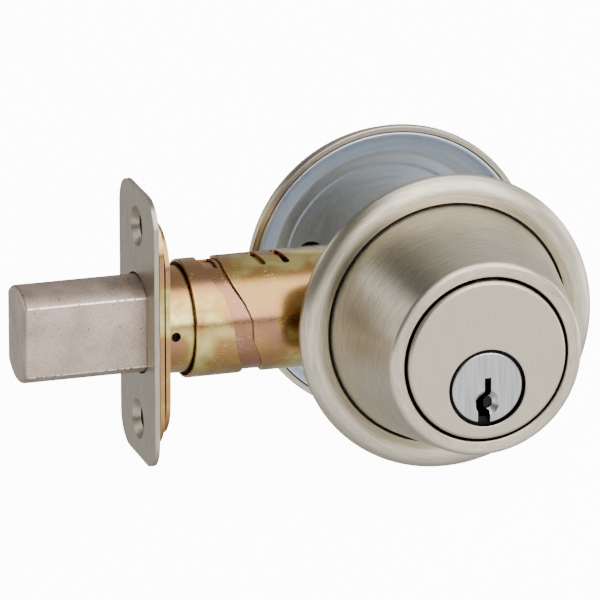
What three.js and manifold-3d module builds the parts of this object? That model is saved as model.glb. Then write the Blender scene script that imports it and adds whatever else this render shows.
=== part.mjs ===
// Single-cylinder deadbolt: keyed cylinder outside, thumbturn inside, adjustable bolt in the door's edge.
// Frame: +Z up, the cylinder axis along Y with the keyed side towards -Y, and the bolt throws towards -X.
// The origin is where the bolt's axis crosses the axis of the door's bore, halfway through the door.
// Millimetres throughout.

import * as THREE from 'three';
import * as BufferGeometryUtils from 'three/addons/utils/BufferGeometryUtils.js';
import Module from 'manifold-3d';

const wasm = await Module();
wasm.setup();

// ---------------------------------------------------------------- driving dimensions

const DOOR_FACE = 17.5;            // half of a 35 mm door
const BACKSET = 60;                // door edge to the centre of the bore
const THROW = 25.4;                // bolt travel
const SPINDLE_Z = -5.8;            // the spindle runs below the bolt's axis
const TURN = Math.PI / 2;          // the spindle's quarter turn

const ROSE_R = 31.2;
const COLLAR_BASE_R = 24.9;
const COLLAR_BASE_Y = -18.75;
const COLLAR_FRONT_Y = -43.8;
const COLLAR_BORE_R = 17.3;
const HOUSING_R = 16.6;
const HOUSING_FACE_Y = -44.5;
const FLANGE_R = 21.5;
const FLANGE_FRONT_Y = -22.6;
const FLANGE_BACK_Y = -18.6;

const PLUG_R = 6.35;
const PLUG_BORE_R = 6.47;
const PLUG_HEAD_R = 7.45;
const PLUG_SEAT_R = 8;
const PLUG_FACE_Y = -44.3;
const PLUG_SEAT_Y = -42.75;
const PLUG_END_Y = -20.5;
const KEYWAY_END_Y = -23.5;
const CHAMBERS = 5;
const CHAMBER_PITCH = 3.9;
const FIRST_CHAMBER_Y = -40.8;
const CHAMBER_R = 1.5;
const PIN_R = 1.33;
const CHAMBER_TOP_Z = 14.4;
const KEY_PIN_LENGTHS = [5.6, 4.4, 5.0, 3.9, 5.3];
const DRIVER_LENGTH = 5;
const PIN_GAP = 0.15;

const PLATE_WIDTH = 25.4;
const PLATE_HEIGHT = 57.15;
const PLATE_CORNER_R = 6.35;
const PLATE_SCREW_Z = 20.6;
const SHEET = 0.95;                // the bolt's stamped plates
const SHEET_GAP = 0.2;

const BOLT_R = 10.05;
const BOLT_HALF_WIDTH = 6.9;
const BOLT_BACK_X = -48;
const BOLT_HOLE_GAP = 0.4;
const BOLT_CHAMFER = 0.7;
const NOSE_FACETS = 2;

const FRONT_TUBE = { inner: 10.4, outer: 10.95, back: -40 };
const INNER_SLEEVE = { inner: 11.05, outer: 11.55, front: -49.4, back: -30 };
const OUTER_SLEEVE = { inner: 11.65, outer: 12.2, front: -51, back: -19 };

const CRANK_ARM = THROW / Math.SQRT2;
const CRANK_PIN_R = 1.9;
const CRANK_PIN_CLEARANCE = 0.7;   // room for a straight slot to follow a turning pin
const CHEEK_INNER_Y = 7.1;         // clear of the bolt's flats, which slide between the cheeks
const CHEEK_OUTER_Y = 8.1;
const RIVET_R = 1.15;
const HUB_R = 5.6;
const HUB_JOURNAL_R = 4.3;
const BLADE_WIDTH = 5;
const BLADE_THICKNESS = 2;
const BLADE_CLEARANCE = 0.15;

const MOUNT_SCREW_X = 16;          // either side of the spindle, level with it
const MOUNT_SCREW_R = 2;
const SLOT_TOP_Z = 6.2;
const SLOT_R = 3.1;
const INSIDE_FACE_Y = 31;
const INSIDE_SHEET = 1.4;
const THUMB_HUB_R = 6;
const THUMB_HUB_BACK_Y = 23;

// Sides of the faceted round shapes, by size.
const LARGE_ROUND = 40;
const TUBE_ROUND = 36;
const MEDIUM_ROUND = 28;
const SMALL_ROUND = 16;
const TINY_ROUND = 10;

// ---------------------------------------------------------------- finishes

const finish = (color, roughness, metalness = 1) => () =>
  new THREE.MeshStandardMaterial({ color, roughness, metalness });
const satinNickel = finish(0xbdb8aa, 0.35);
const boltSteel = finish(0xb3a9a0, 0.45);
const brightSteel = finish(0xb9babd, 0.3);
const yellowZinc = finish(0xc79a6b, 0.35);
const clearZinc = finish(0x9aa3a9, 0.3);
const brass = finish(0xb59a55, 0.4);
const hardSteel = finish(0x6f6f72, 0.45);
const springWire = finish(0x8d9094, 0.35);

const lock = new THREE.Group();
lock.name = 'deadbolt';

// ---------------------------------------------------------------- solids

// A closed three.js geometry as a manifold solid.
function solid(geometry) {
  const bare = geometry.index ? geometry.toNonIndexed() : geometry.clone();
  bare.deleteAttribute('normal');
  bare.deleteAttribute('uv');
  const merged = BufferGeometryUtils.mergeVertices(bare, 1e-5);
  return new wasm.Manifold(new wasm.Mesh({
    numProp: 3,
    vertProperties: new Float32Array(merged.attributes.position.array),
    triVerts: new Uint32Array(merged.index.array),
  }));
}

function add(name, body, material) {
  const mesh = body.getMesh();
  const geometry = new THREE.BufferGeometry();
  geometry.setAttribute('position', new THREE.BufferAttribute(new Float32Array(mesh.vertProperties), 3));
  geometry.setIndex(new THREE.BufferAttribute(new Uint32Array(mesh.triVerts), 1));
  geometry.computeVertexNormals();
  const part = new THREE.Mesh(geometry, material());
  part.name = name;
  lock.add(part);
  return part;
}

// Turns a profile of [radius, y] points round the Y axis, or round a parallel axis through (x, z).
function turned(profile, segments = LARGE_ROUND, x = 0, z = 0) {
  const points = profile.map(([radius, y]) => new THREE.Vector2(radius, y));
  const first = points[0];
  const last = points[points.length - 1];
  if (first.x > 0 || last.x > 0) points.push(first.clone());
  const area = points.reduce((sum, p, i) => {
    const q = points[(i + 1) % points.length];
    return sum + p.x * q.y - q.x * p.y;
  }, 0);
  if (area < 0) points.reverse();
  const geometry = new THREE.LatheGeometry(points, segments);
  geometry.translate(x, 0, z);
  return solid(geometry);
}

// A plain round bar or disc along Y.
function barY(radius, y0, y1, x = 0, z = 0, segments = SMALL_ROUND) {
  return turned([[0, y0], [radius, y0], [radius, y1], [0, y1]], segments, x, z);
}

// A ring along Y.
function ringY(inner, outer, y0, y1, x = 0, z = 0, segments = MEDIUM_ROUND) {
  return turned([[inner, y0], [outer, y0], [outer, y1], [inner, y1]], segments, x, z);
}

// Extrudes a shape drawn in (y, z) along X, from x0 to x1.
function alongX(shape, x0, x1, curveSegments = 10) {
  const geometry = new THREE.ExtrudeGeometry(shape, { depth: x1 - x0, bevelEnabled: false, curveSegments });
  geometry.applyMatrix4(new THREE.Matrix4().makeBasis(
    new THREE.Vector3(0, 1, 0), new THREE.Vector3(0, 0, 1), new THREE.Vector3(1, 0, 0)));
  geometry.translate(x0, 0, 0);
  return solid(geometry);
}

// Extrudes a shape drawn in (x, z) along Y, from y0 to y1.
function alongY(shape, y0, y1, curveSegments = 8) {
  const geometry = new THREE.ExtrudeGeometry(shape, { depth: y1 - y0, bevelEnabled: false, curveSegments });
  geometry.applyMatrix4(new THREE.Matrix4().makeBasis(
    new THREE.Vector3(1, 0, 0), new THREE.Vector3(0, 0, 1), new THREE.Vector3(0, -1, 0)));
  geometry.translate(0, y1, 0);
  return solid(geometry);
}

function box(x0, x1, y0, y1, z0, z1) {
  const geometry = new THREE.BoxGeometry(x1 - x0, y1 - y0, z1 - z0);
  geometry.translate((x0 + x1) / 2, (y0 + y1) / 2, (z0 + z1) / 2);
  return solid(geometry);
}

// A round bar along Z.
function barZ(radius, z0, z1, x, y, segments = TINY_ROUND) {
  const geometry = new THREE.CylinderGeometry(radius, radius, z1 - z0, segments);
  geometry.rotateX(Math.PI / 2);
  geometry.translate(x, y, (z0 + z1) / 2);
  return solid(geometry);
}

// A round bar along X.
function barX(radius, x0, x1, y = 0, z = 0, segments = TUBE_ROUND) {
  const geometry = new THREE.CylinderGeometry(radius, radius, x1 - x0, segments);
  geometry.rotateZ(Math.PI / 2);
  geometry.translate((x0 + x1) / 2, y, z);
  return solid(geometry);
}

// ---------------------------------------------------------------- outlines

function polygon(points) {
  return new THREE.Shape(points.map(([u, v]) => new THREE.Vector2(u, v)));
}

function roundedRectangle(width, height, radius) {
  const u = width / 2;
  const v = height / 2;
  const shape = new THREE.Shape();
  shape.moveTo(-u + radius, -v);
  shape.lineTo(u - radius, -v);
  shape.absarc(u - radius, -v + radius, radius, -TURN, 0);
  shape.lineTo(u, v - radius);
  shape.absarc(u - radius, v - radius, radius, 0, TURN);
  shape.lineTo(-u + radius, v);
  shape.absarc(-u + radius, v - radius, radius, TURN, 2 * TURN);
  shape.lineTo(-u, -v + radius);
  shape.absarc(-u + radius, -v + radius, radius, 2 * TURN, 3 * TURN);
  return shape;
}

// The bolt's section in (y, z): a round bar with a flat down each side.
function boltSection(grow = 0) {
  const radius = BOLT_R + grow;
  const angle = Math.acos((BOLT_HALF_WIDTH + grow) / radius);
  const shape = new THREE.Shape();
  shape.absarc(0, 0, radius, angle, Math.PI - angle);
  shape.absarc(0, 0, radius, Math.PI + angle, 2 * Math.PI - angle);
  return shape;
}

function slotOutline(u, v0, v1, radius) {
  const shape = new THREE.Shape();
  shape.absarc(u, v1 - radius, radius, 0, Math.PI);
  shape.absarc(u, v0 + radius, radius, Math.PI, 2 * Math.PI);
  return shape;
}

// ---------------------------------------------------------------- outside trim

function addOutsideRose() {
  const profile = [
    [14, -DOOR_FACE], [30.7, -DOOR_FACE], [31.05, -17.8], [ROSE_R, -18.6], [31.1, -19.4],
    [30.6, -20.2], [29.8, -20.6], [28.7, -20.4], [26.8, -19.3], [25.4, -18.9],
    [25.4, -18.5], [14, -18.5],
  ];
  let rose = turned(profile);
  for (const side of [-1, 1]) {
    rose = rose.subtract(barY(MOUNT_SCREW_R + 0.4, -19, -17, side * MOUNT_SCREW_X, SPINDLE_Z, 12));
  }
  add('outside_rose', rose, satinNickel);
}

function addCollar() {
  const recessR = 22.2;
  const recessY = -24;
  const profile = [
    [COLLAR_BASE_R, COLLAR_BASE_Y], [COLLAR_BASE_R, -19.4], [23.9, -25], [22.3, -33.5], [20.7, -41.4],
    [20.1, -42.9], [19.3, COLLAR_FRONT_Y + 0.1], [18.2, COLLAR_FRONT_Y], [17.7, COLLAR_FRONT_Y + 0.15],
    [COLLAR_BORE_R, COLLAR_FRONT_Y + 0.5], [COLLAR_BORE_R, recessY], [recessR, recessY],
    [recessR, COLLAR_BASE_Y],
  ];
  add('cylinder_collar', turned(profile), satinNickel);
  add('collar_washer', ringY(17, 21.4, -23.7, -22.9), springWire);
}

function chamberY(index) {
  return FIRST_CHAMBER_Y + index * CHAMBER_PITCH;
}

function addCylinderHousing() {
  const chamfer = 0.7;
  let housing = turned([
    [0, HOUSING_FACE_Y], [HOUSING_R - chamfer, HOUSING_FACE_Y], [HOUSING_R, HOUSING_FACE_Y + chamfer],
    [HOUSING_R, FLANGE_FRONT_Y], [FLANGE_R, FLANGE_FRONT_Y], [FLANGE_R, FLANGE_BACK_Y], [0, FLANGE_BACK_Y],
  ]);
  housing = housing.subtract(barY(PLUG_BORE_R, -50, -15, 0, SPINDLE_Z, MEDIUM_ROUND));
  housing = housing.subtract(turned([
    [0, PLUG_SEAT_Y], [PLUG_SEAT_R, PLUG_SEAT_Y], [PLUG_SEAT_R, HOUSING_FACE_Y + 0.4],
    [PLUG_SEAT_R + 0.5, HOUSING_FACE_Y - 0.1], [0, HOUSING_FACE_Y - 0.1],
  ], MEDIUM_ROUND, 0, SPINDLE_Z));
  for (let i = 0; i < CHAMBERS; i += 1) {
    housing = housing.subtract(barZ(CHAMBER_R, SPINDLE_Z + 4, CHAMBER_TOP_Z + 1, 0, chamberY(i)));
  }
  const slotEnd = chamberY(CHAMBERS - 1) + 2;
  housing = housing.subtract(box(-2.4, 2.4, FIRST_CHAMBER_Y - 2, slotEnd, CHAMBER_TOP_Z, 20));
  for (const side of [-1, 1]) {
    housing = housing.subtract(barY(MOUNT_SCREW_R + 0.2, -22.2, -18, side * MOUNT_SCREW_X, SPINDLE_Z, 12));
  }
  // Drilled from the side for the hardened pins that stop a drill above the plug.
  for (const side of [-1, 1]) {
    housing = housing.subtract(barY(1.2, -40.2, -18, side * 5, 5.2, TINY_ROUND));
  }
  add('cylinder_housing', housing, satinNickel);
  const cover = box(-2.2, 2.2, FIRST_CHAMBER_Y - 1.8, slotEnd - 0.2, CHAMBER_TOP_Z + 0.15, 15.6);
  add('chamber_cover', cover, brass);
  add('hardened_pin_left', barY(1.05, -40, -19, -5, 5.2, TINY_ROUND), hardSteel);
  add('hardened_pin_right', barY(1.05, -40, -19, 5, 5.2, TINY_ROUND), hardSteel);
}

// ---------------------------------------------------------------- key plug and pins

// The keyway in (x, z), seen from outside: a crooked slot that opens at the plug's underside.
function keywayOutline() {
  const outline = [
    [-0.55, 2.1], [-0.55, -1], [-2.3, -2.4], [-2.3, -4.2], [-1.95, -4.8], [-1.95, -PLUG_HEAD_R - 1],
    [0.65, -PLUG_HEAD_R - 1], [0.65, -4.9], [-0.4, -4.2], [-0.4, -2.7], [0.8, -1.5], [0.8, 2.1],
  ];
  return polygon(outline.map(([x, z]) => [x, SPINDLE_Z + z]).reverse());
}

function addKeyPlug() {
  const recessR = 4.2;
  const recessY = -22.2;
  let plug = turned([
    [0, PLUG_FACE_Y], [PLUG_HEAD_R - 0.4, PLUG_FACE_Y], [PLUG_HEAD_R, PLUG_FACE_Y + 0.4],
    [PLUG_HEAD_R, PLUG_SEAT_Y - PIN_GAP], [PLUG_R, PLUG_SEAT_Y - PIN_GAP], [PLUG_R, PLUG_END_Y],
    [recessR, PLUG_END_Y], [recessR, recessY], [0, recessY],
  ], MEDIUM_ROUND, 0, SPINDLE_Z);
  plug = plug.subtract(alongY(keywayOutline(), -50, KEYWAY_END_Y));
  for (let i = 0; i < CHAMBERS; i += 1) {
    plug = plug.subtract(barZ(CHAMBER_R, SPINDLE_Z - 1.2, SPINDLE_Z + PLUG_R + 1, 0, chamberY(i)));
  }
  add('key_plug', plug, brightSteel);
  add('plug_cap', ringY(3.1, 6.2, PLUG_END_Y + 0.2, FLANGE_BACK_Y - 0.3, 0, SPINDLE_Z), brass);

  const shearZ = SPINDLE_Z + 6.15;
  const driverZ = SPINDLE_Z + PLUG_BORE_R + PIN_GAP;
  for (let i = 0; i < CHAMBERS; i += 1) {
    const number = i + 1;
    add(`key_pin_${number}`, barZ(PIN_R, shearZ - KEY_PIN_LENGTHS[i], shearZ, 0, chamberY(i), 8), brass);
    const driver = barZ(PIN_R, driverZ, driverZ + DRIVER_LENGTH, 0, chamberY(i), 8);
    add(`driver_pin_${number}`, driver, brightSteel);
    addChamberSpring(number, driverZ + DRIVER_LENGTH + PIN_GAP, CHAMBER_TOP_Z - PIN_GAP, chamberY(i));
  }
}

class Helix extends THREE.Curve {
  constructor(radius, z0, z1, turns, x, y) {
    super();
    Object.assign(this, { radius, z0, z1, turns, x, y });
  }

  getPoint(t, target = new THREE.Vector3()) {
    const angle = t * this.turns * 2 * Math.PI;
    return target.set(
      this.x + this.radius * Math.cos(angle),
      this.y + this.radius * Math.sin(angle),
      this.z0 + (this.z1 - this.z0) * t,
    );
  }
}

function addChamberSpring(number, z0, z1, y) {
  const wireR = 0.2;
  const turns = 4;
  const path = new Helix(PIN_R - wireR - 0.1, z0 + wireR, z1 - wireR, turns, 0, y);
  const section = new THREE.Shape().absarc(0, 0, wireR, 0, 2 * Math.PI);
  const geometry = new THREE.ExtrudeGeometry(section, {
    extrudePath: path, steps: turns * 7, curveSegments: 2, bevelEnabled: false,
  });
  add(`chamber_spring_${number}`, solid(geometry), springWire);
}

// ---------------------------------------------------------------- bolt plates and tubes

function addFaceplate() {
  const front = -BACKSET;
  const back = front + 1;
  const hole = boltSection(BOLT_HOLE_GAP);
  let plate = alongX(roundedRectangle(PLATE_WIDTH, PLATE_HEIGHT, PLATE_CORNER_R), front, back, 5);
  plate = plate.subtract(alongX(hole, front - 1, back + 1));
  for (const side of [-1, 1]) {
    const z = side * PLATE_SCREW_Z;
    plate = plate.subtract(barX(2.3, front - 1, back + 1, 0, z, SMALL_ROUND));
    const sink = new THREE.CylinderGeometry(2.3, 4.15, 0.8, SMALL_ROUND);
    sink.rotateZ(-TURN);
    sink.translate(front + 0.35, 0, z);
    plate = plate.subtract(solid(sink));
  }
  add('faceplate', plate, satinNickel);

  const backingFront = back + SHEET_GAP;
  const backingBack = backingFront + SHEET;
  const backingOutline = roundedRectangle(PLATE_WIDTH - 0.6, PLATE_HEIGHT - 9, 7.5);
  let backing = alongX(backingOutline, backingFront, backingBack, 5);
  backing = backing.subtract(alongX(hole, backingFront - 1, backingBack + 1));
  for (const side of [-1, 1]) {
    backing = backing.subtract(barX(2.6, backingFront - 1, backingBack + 1, 0, side * PLATE_SCREW_Z, 12));
  }
  add('backing_plate', backing, yellowZinc);

  const flangeFront = backingBack + SHEET_GAP;
  const flangeBack = flangeFront + SHEET;
  let tube = alongX(roundedRectangle(PLATE_WIDTH, 44.6, 8.6), flangeFront, flangeBack, 5);
  tube = tube.add(barX(FRONT_TUBE.outer, flangeFront, FRONT_TUBE.back));
  tube = tube.subtract(barX(FRONT_TUBE.inner, flangeFront - 1, FRONT_TUBE.back + 1));
  for (const side of [-1, 1]) {
    tube = tube.subtract(barX(2.6, flangeFront - 1, flangeBack + 1, 0, side * PLATE_SCREW_Z, 12));
  }
  tube = tube.subtract(barY(1, -14, 0, front + 5, -0.2, TINY_ROUND));
  add('front_tube', tube, yellowZinc);
}

function tube(wall, x0, x1) {
  return barX(wall.outer, x0, x1).subtract(barX(wall.inner, x0 - 1, x1 + 1));
}

// The slanted gap between the two outer sleeves, drawn in (x, z) from top to bottom.
const FRONT_GAP_EDGE = [
  [-47.6, 13], [-46.7, 10.4], [-44.6, 6.9], [-43.2, 2], [-42.8, -2], [-42, -5.2], [-38.4, -13],
];
const REAR_GAP_EDGE = [
  [-43.8, 13], [-42.1, 8.7], [-40.3, 5.4], [-39, 2], [-38.8, -2.4], [-37, -6.4], [-34.6, -13],
];

function addSleeves() {
  const reach = 14;
  const ahead = [[-60, 13], [-60, -13], ...[...FRONT_GAP_EDGE].reverse()];
  const behind = [...REAR_GAP_EDGE, [0, -13], [0, 13]];

  let front = tube(OUTER_SLEEVE, OUTER_SLEEVE.front, -30);
  front = front.intersect(alongY(counterclockwise(ahead), -reach, reach));
  add('front_sleeve', front, yellowZinc);

  let inner = tube(INNER_SLEEVE, INNER_SLEEVE.front, INNER_SLEEVE.back);
  inner = inner.subtract(box(-46.6, -43.9, -3.2, 3.2, 8, 14));
  add('inner_sleeve', inner, yellowZinc);

  let rear = tube(OUTER_SLEEVE, -50, OUTER_SLEEVE.back);
  rear = rear.intersect(alongY(counterclockwise(behind), -reach, reach));
  for (const x of [-36, -31]) {
    rear = rear.subtract(alongZSlot(x));
  }
  add('rear_sleeve', rear, yellowZinc);
}

function counterclockwise(points) {
  const shape = polygon(points);
  return THREE.ShapeUtils.isClockWise(shape.getPoints()) ? polygon([...points].reverse()) : shape;
}

// One of the slanted slots over the top of the rear sleeve, where the sleeve locks on the tube.
function alongZSlot(x) {
  const outline = polygon([[x - 0.8, 1.5], [x + 0.8, 1.5], [x + 2.3, -4.6], [x + 0.7, -4.6]].reverse());
  const geometry = new THREE.ExtrudeGeometry(outline, { depth: 6, bevelEnabled: false });
  geometry.translate(0, 0, 8.5);
  return solid(geometry);
}

// ---------------------------------------------------------------- bolt

const TAIL_Z0 = 0.6;
const TAIL_Z1 = 5;
const TAIL_HALF = 1.3;
const TAIL_FRONT_X = -54;
const PIN_REST_X = -CRANK_ARM / Math.SQRT2;
const PIN_REST_Z = SPINDLE_Z + CRANK_ARM / Math.SQRT2;

function addDeadBolt() {
  const front = -BACKSET - THROW;
  let bolt = chamferedBolt(front);
  bolt = bolt.subtract(barX(3.7, front + 5, BOLT_BACK_X + 1, 0, 0, SMALL_ROUND));
  const slotHalf = TAIL_HALF + 0.2;
  bolt = bolt.subtract(box(TAIL_FRONT_X - 0.5, BOLT_BACK_X + 1, -slotHalf, slotHalf, 0, TAIL_Z1 + 0.3));
  bolt = bolt.subtract(barY(1.45, -10, 10, -51, 2.8, 12));
  add('dead_bolt', bolt, boltSteel);
  add('hardened_roller', barX(3.4, front + 5.4, TAIL_FRONT_X - 0.8, 0, 0, SMALL_ROUND), hardSteel);
  add('tail_rivet', barY(1.2, -6.8, 6.8, -51, 2.8, 12), brightSteel);
}

// The bolt's bar with its front edges broken.
function chamferedBolt(front) {
  const section = boltSection(-BOLT_CHAMFER);
  const geometry = new THREE.ExtrudeGeometry(section, {
    depth: BOLT_BACK_X - front - 2 * BOLT_CHAMFER, curveSegments: 10,
    bevelEnabled: true, bevelSize: BOLT_CHAMFER, bevelThickness: BOLT_CHAMFER, bevelSegments: NOSE_FACETS,
  });
  geometry.applyMatrix4(new THREE.Matrix4().makeBasis(
    new THREE.Vector3(0, 1, 0), new THREE.Vector3(0, 0, 1), new THREE.Vector3(1, 0, 0)));
  geometry.translate(front + BOLT_CHAMFER, 0, 0);
  return solid(geometry);
}

function addBoltTail() {
  const slot = CRANK_PIN_R + CRANK_PIN_CLEARANCE;
  const wall = 2.1;
  const left = PIN_REST_X - slot;
  const right = PIN_REST_X + slot;
  const forkTop = 13.4;
  const slotFloor = PIN_REST_Z - CRANK_PIN_R - 0.5;
  const outline = [
    [TAIL_FRONT_X, TAIL_Z0], [right + wall, TAIL_Z0], [right + wall, forkTop], [right, forkTop],
    [right, slotFloor], [left, slotFloor], [left, forkTop], [left - wall, forkTop],
    [left - wall, TAIL_Z1 + 2], [left - wall - 2, TAIL_Z1], [TAIL_FRONT_X, TAIL_Z1],
  ];
  let tail = alongY(polygon(outline), -TAIL_HALF, TAIL_HALF);
  tail = tail.subtract(barY(1.35, -3, 3, -51, 2.8, 12));
  add('bolt_tail', tail, yellowZinc);
}

// ---------------------------------------------------------------- crank and its case

function addCrank() {
  const armInner = 1.8;
  const armOuter = 4;
  const armHalf = 3;
  let crank = barY(HUB_R, -CHEEK_INNER_Y + 0.3, CHEEK_INNER_Y - 0.3, 0, SPINDLE_Z, MEDIUM_ROUND);
  const journalEnd = CHEEK_OUTER_Y + 0.4;
  crank = crank.add(barY(HUB_JOURNAL_R, -journalEnd, journalEnd, 0, SPINDLE_Z, MEDIUM_ROUND));
  const toTip = new THREE.Vector2(PIN_REST_X, PIN_REST_Z - SPINDLE_Z).normalize();
  const across = new THREE.Vector2(-toTip.y, toTip.x).multiplyScalar(armHalf);
  const hub = new THREE.Vector2(0, SPINDLE_Z);
  const tip = new THREE.Vector2(PIN_REST_X, PIN_REST_Z);
  const corners = [
    hub.clone().sub(across), tip.clone().sub(across), tip.clone().add(across), hub.clone().add(across),
  ];
  const arm = counterclockwise(corners.map((p) => [p.x, p.y]));
  for (const [y0, y1] of [[-armOuter, -armInner], [armInner, armOuter]]) {
    crank = crank.add(alongY(arm, y0, y1));
    crank = crank.add(barY(armHalf, y0, y1, PIN_REST_X, PIN_REST_Z));
  }
  crank = crank.add(barY(CRANK_PIN_R, -armOuter, armOuter, PIN_REST_X, PIN_REST_Z));
  crank = crank.subtract(bladeHole(-10, 10));
  add('crank', crank, yellowZinc);
}

// The spindle blade lies level while the bolt is thrown.
function bladeHole(y0, y1) {
  const u = BLADE_WIDTH / 2 + BLADE_CLEARANCE;
  const v = BLADE_THICKNESS / 2 + BLADE_CLEARANCE;
  return box(-u, u, y0, y1, SPINDLE_Z - v, SPINDLE_Z + v);
}

// One cheek of the case, in (x, z): a neck inside the rear sleeve, then the crank's housing.
function cheekOutline() {
  const neckX = -28.5;
  const neckZ = 8.1;
  const backX = 11;
  const bottomZ = -12.6;
  const topZ = 12;
  const cornerR = 5;
  const outline = new THREE.Shape();
  outline.moveTo(neckX, -neckZ);
  outline.lineTo(-18.6, -neckZ);
  outline.lineTo(-17.4, bottomZ);
  outline.lineTo(backX - cornerR, bottomZ);
  outline.absarc(backX - cornerR, bottomZ + cornerR, cornerR, -TURN, 0);
  outline.lineTo(backX, topZ - cornerR);
  outline.absarc(backX - cornerR, topZ - cornerR, cornerR, 0, TURN);
  outline.lineTo(-10.5, topZ);
  outline.lineTo(-14, neckZ);
  outline.lineTo(neckX, neckZ);
  return outline;
}

function addCrankCase() {
  const neckRivet = [-20.2, 6.9];
  const rivets = [neckRivet, [-12.2, -10.6], [7, -10]];
  for (const [name, y0, y1] of [
    ['crank_case_outside', -CHEEK_OUTER_Y, -CHEEK_INNER_Y],
    ['crank_case_inside', CHEEK_INNER_Y, CHEEK_OUTER_Y],
  ]) {
    let cheek = alongY(cheekOutline(), y0, y1, 5);
    cheek = cheek.subtract(barY(HUB_JOURNAL_R + 0.15, y0 - 1, y1 + 1, 0, SPINDLE_Z, MEDIUM_ROUND));
    cheek = cheek.subtract(barY(MOUNT_SCREW_R + 0.5, y0 - 1, y1 + 1, -MOUNT_SCREW_X, SPINDLE_Z, 12));
    for (const [x, z] of rivets) {
      cheek = cheek.subtract(barY(RIVET_R + 0.2, y0 - 1, y1 + 1, x, z, TINY_ROUND));
    }
    add(name, cheek, yellowZinc);
  }
  rivets.forEach((place, i) => {
    // The neck's rivet is flush, because the sleeve closes round it.
    const profile = place === neckRivet ? flushRivet() : headedRivet();
    add(`case_rivet_${i + 1}`, turned(profile, TINY_ROUND, place[0], place[1]), brightSteel);
  });
}

function flushRivet() {
  const y = CHEEK_OUTER_Y - 0.1;
  return [[0, -y], [RIVET_R, -y], [RIVET_R, y], [0, y]];
}

function headedRivet() {
  const headR = 1.7;
  const spacerR = 1.6;
  const inY = CHEEK_INNER_Y - 0.2;
  const outY = CHEEK_OUTER_Y + 0.2;
  const headY = outY + 0.7;
  return [
    [0, -headY], [headR, -headY], [headR, -outY], [RIVET_R, -outY], [RIVET_R, -inY], [spacerR, -inY],
    [spacerR, inY], [RIVET_R, inY], [RIVET_R, outY], [headR, outY], [headR, headY], [0, headY],
  ];
}

function addTailpiece() {
  const headY = -22;
  let tailpiece = barY(3.8, headY, headY + 1.1, 0, SPINDLE_Z);
  const u = BLADE_WIDTH / 2;
  const v = BLADE_THICKNESS / 2;
  tailpiece = tailpiece.add(box(-u, u, headY + 0.5, 29.5, SPINDLE_Z - v, SPINDLE_Z + v));
  add('tailpiece', tailpiece, brightSteel);
}

// ---------------------------------------------------------------- inside trim

function addSupportPlate() {
  const profile = [
    [9.2, 22.4], [21.2, 22.4], [22.2, 21.7], [24, 21.5], [25.4, 21.1], [28.2, 18.5], [29.1, DOOR_FACE],
    [29.7, DOOR_FACE], [29.7, 18.2], [27.3, 21.1], [25.7, 22.2], [22, 23.4], [9.2, 23.4],
  ];
  // The centre hole follows the spindle, so it is cut again below the bore's axis.
  let plate = turned(profile);
  plate = plate.subtract(barY(9.6, 20, 25, 0, SPINDLE_Z + 1, MEDIUM_ROUND));
  for (const side of [-1, 1]) {
    plate = plate.subtract(alongY(slotOutline(side * MOUNT_SCREW_X, -9.2, SLOT_TOP_Z, SLOT_R), 20, 25, 7));
  }
  add('support_plate', plate, clearZinc);
}

function addInsideRose() {
  const face = INSIDE_FACE_Y;
  const profile = [
    [0, face - INSIDE_SHEET], [23.4, face - INSIDE_SHEET], [24.8, 28.4], [27.2, 24.4], [30, 19.6],
    [30, DOOR_FACE], [31, DOOR_FACE], [ROSE_R, 18.2], [31.1, 19.6], [30.3, 22], [28.4, 25],
    [26.2, 29], [24.6, 30.6], [23.4, face], [0, face],
  ];
  let rose = turned(profile);
  rose = rose.subtract(barY(THUMB_HUB_R + 0.3, 20, 40, 0, SPINDLE_Z, MEDIUM_ROUND));
  for (const side of [-1, 1]) {
    rose = rose.subtract(barY(MOUNT_SCREW_R + 0.3, 20, 40, side * MOUNT_SCREW_X, SPINDLE_Z, 12));
  }
  add('inside_rose', rose, satinNickel);
}

function addMountingScrews() {
  const seat = INSIDE_FACE_Y + 0.15;
  for (const [name, side] of [['mounting_screw_left', -1], ['mounting_screw_right', 1]]) {
    const profile = [
      [0, -21.9], [1.5, -21.9], [MOUNT_SCREW_R, -21.2], [MOUNT_SCREW_R, seat], [3.9, seat],
      [3.9, seat + 0.7], [3.1, seat + 1.4], [1.6, seat + 1.8], [0, seat + 1.85],
    ];
    const x = side * MOUNT_SCREW_X;
    const z = SPINDLE_Z;
    let screw = turned(profile, 14, x, z);
    screw = screw.subtract(box(x - 2.4, x + 2.4, seat + 0.9, seat + 3, z - 0.4, z + 0.4));
    screw = screw.subtract(box(x - 0.4, x + 0.4, seat + 0.9, seat + 3, z - 2.4, z + 2.4));
    add(name, screw, satinNickel);
  }
}

function addThumbturn() {
  const clipY0 = 28.1;
  const clipY1 = 28.9;
  const groove = THUMB_HUB_R - 0.7;
  const flangeY = INSIDE_FACE_Y + 0.25;
  let turn = turned([
    [0, THUMB_HUB_BACK_Y], [THUMB_HUB_R, THUMB_HUB_BACK_Y], [THUMB_HUB_R, clipY0 - 0.15],
    [groove, clipY0 - 0.15], [groove, clipY1 + 0.15], [THUMB_HUB_R, clipY1 + 0.15],
    [THUMB_HUB_R, flangeY], [7.6, flangeY], [7.8, flangeY + 0.5], [7.3, flangeY + 2.2],
    [6.2, flangeY + 3], [0, flangeY + 3],
  ], MEDIUM_ROUND, 0, SPINDLE_Z);
  turn = turn.add(thumbBlade(flangeY + 2.4));
  turn = turn.subtract(bladeHole(THUMB_HUB_BACK_Y - 1, 30));
  add('thumbturn', turn, satinNickel);

  let clip = ringY(groove + 0.1, 8.2, clipY0, clipY1, 0, SPINDLE_Z);
  clip = clip.subtract(box(-1.6, 1.6, clipY0 - 1, clipY1 + 1, SPINDLE_Z - 9, SPINDLE_Z));
  add('thumbturn_clip', clip, springWire);
}

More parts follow.
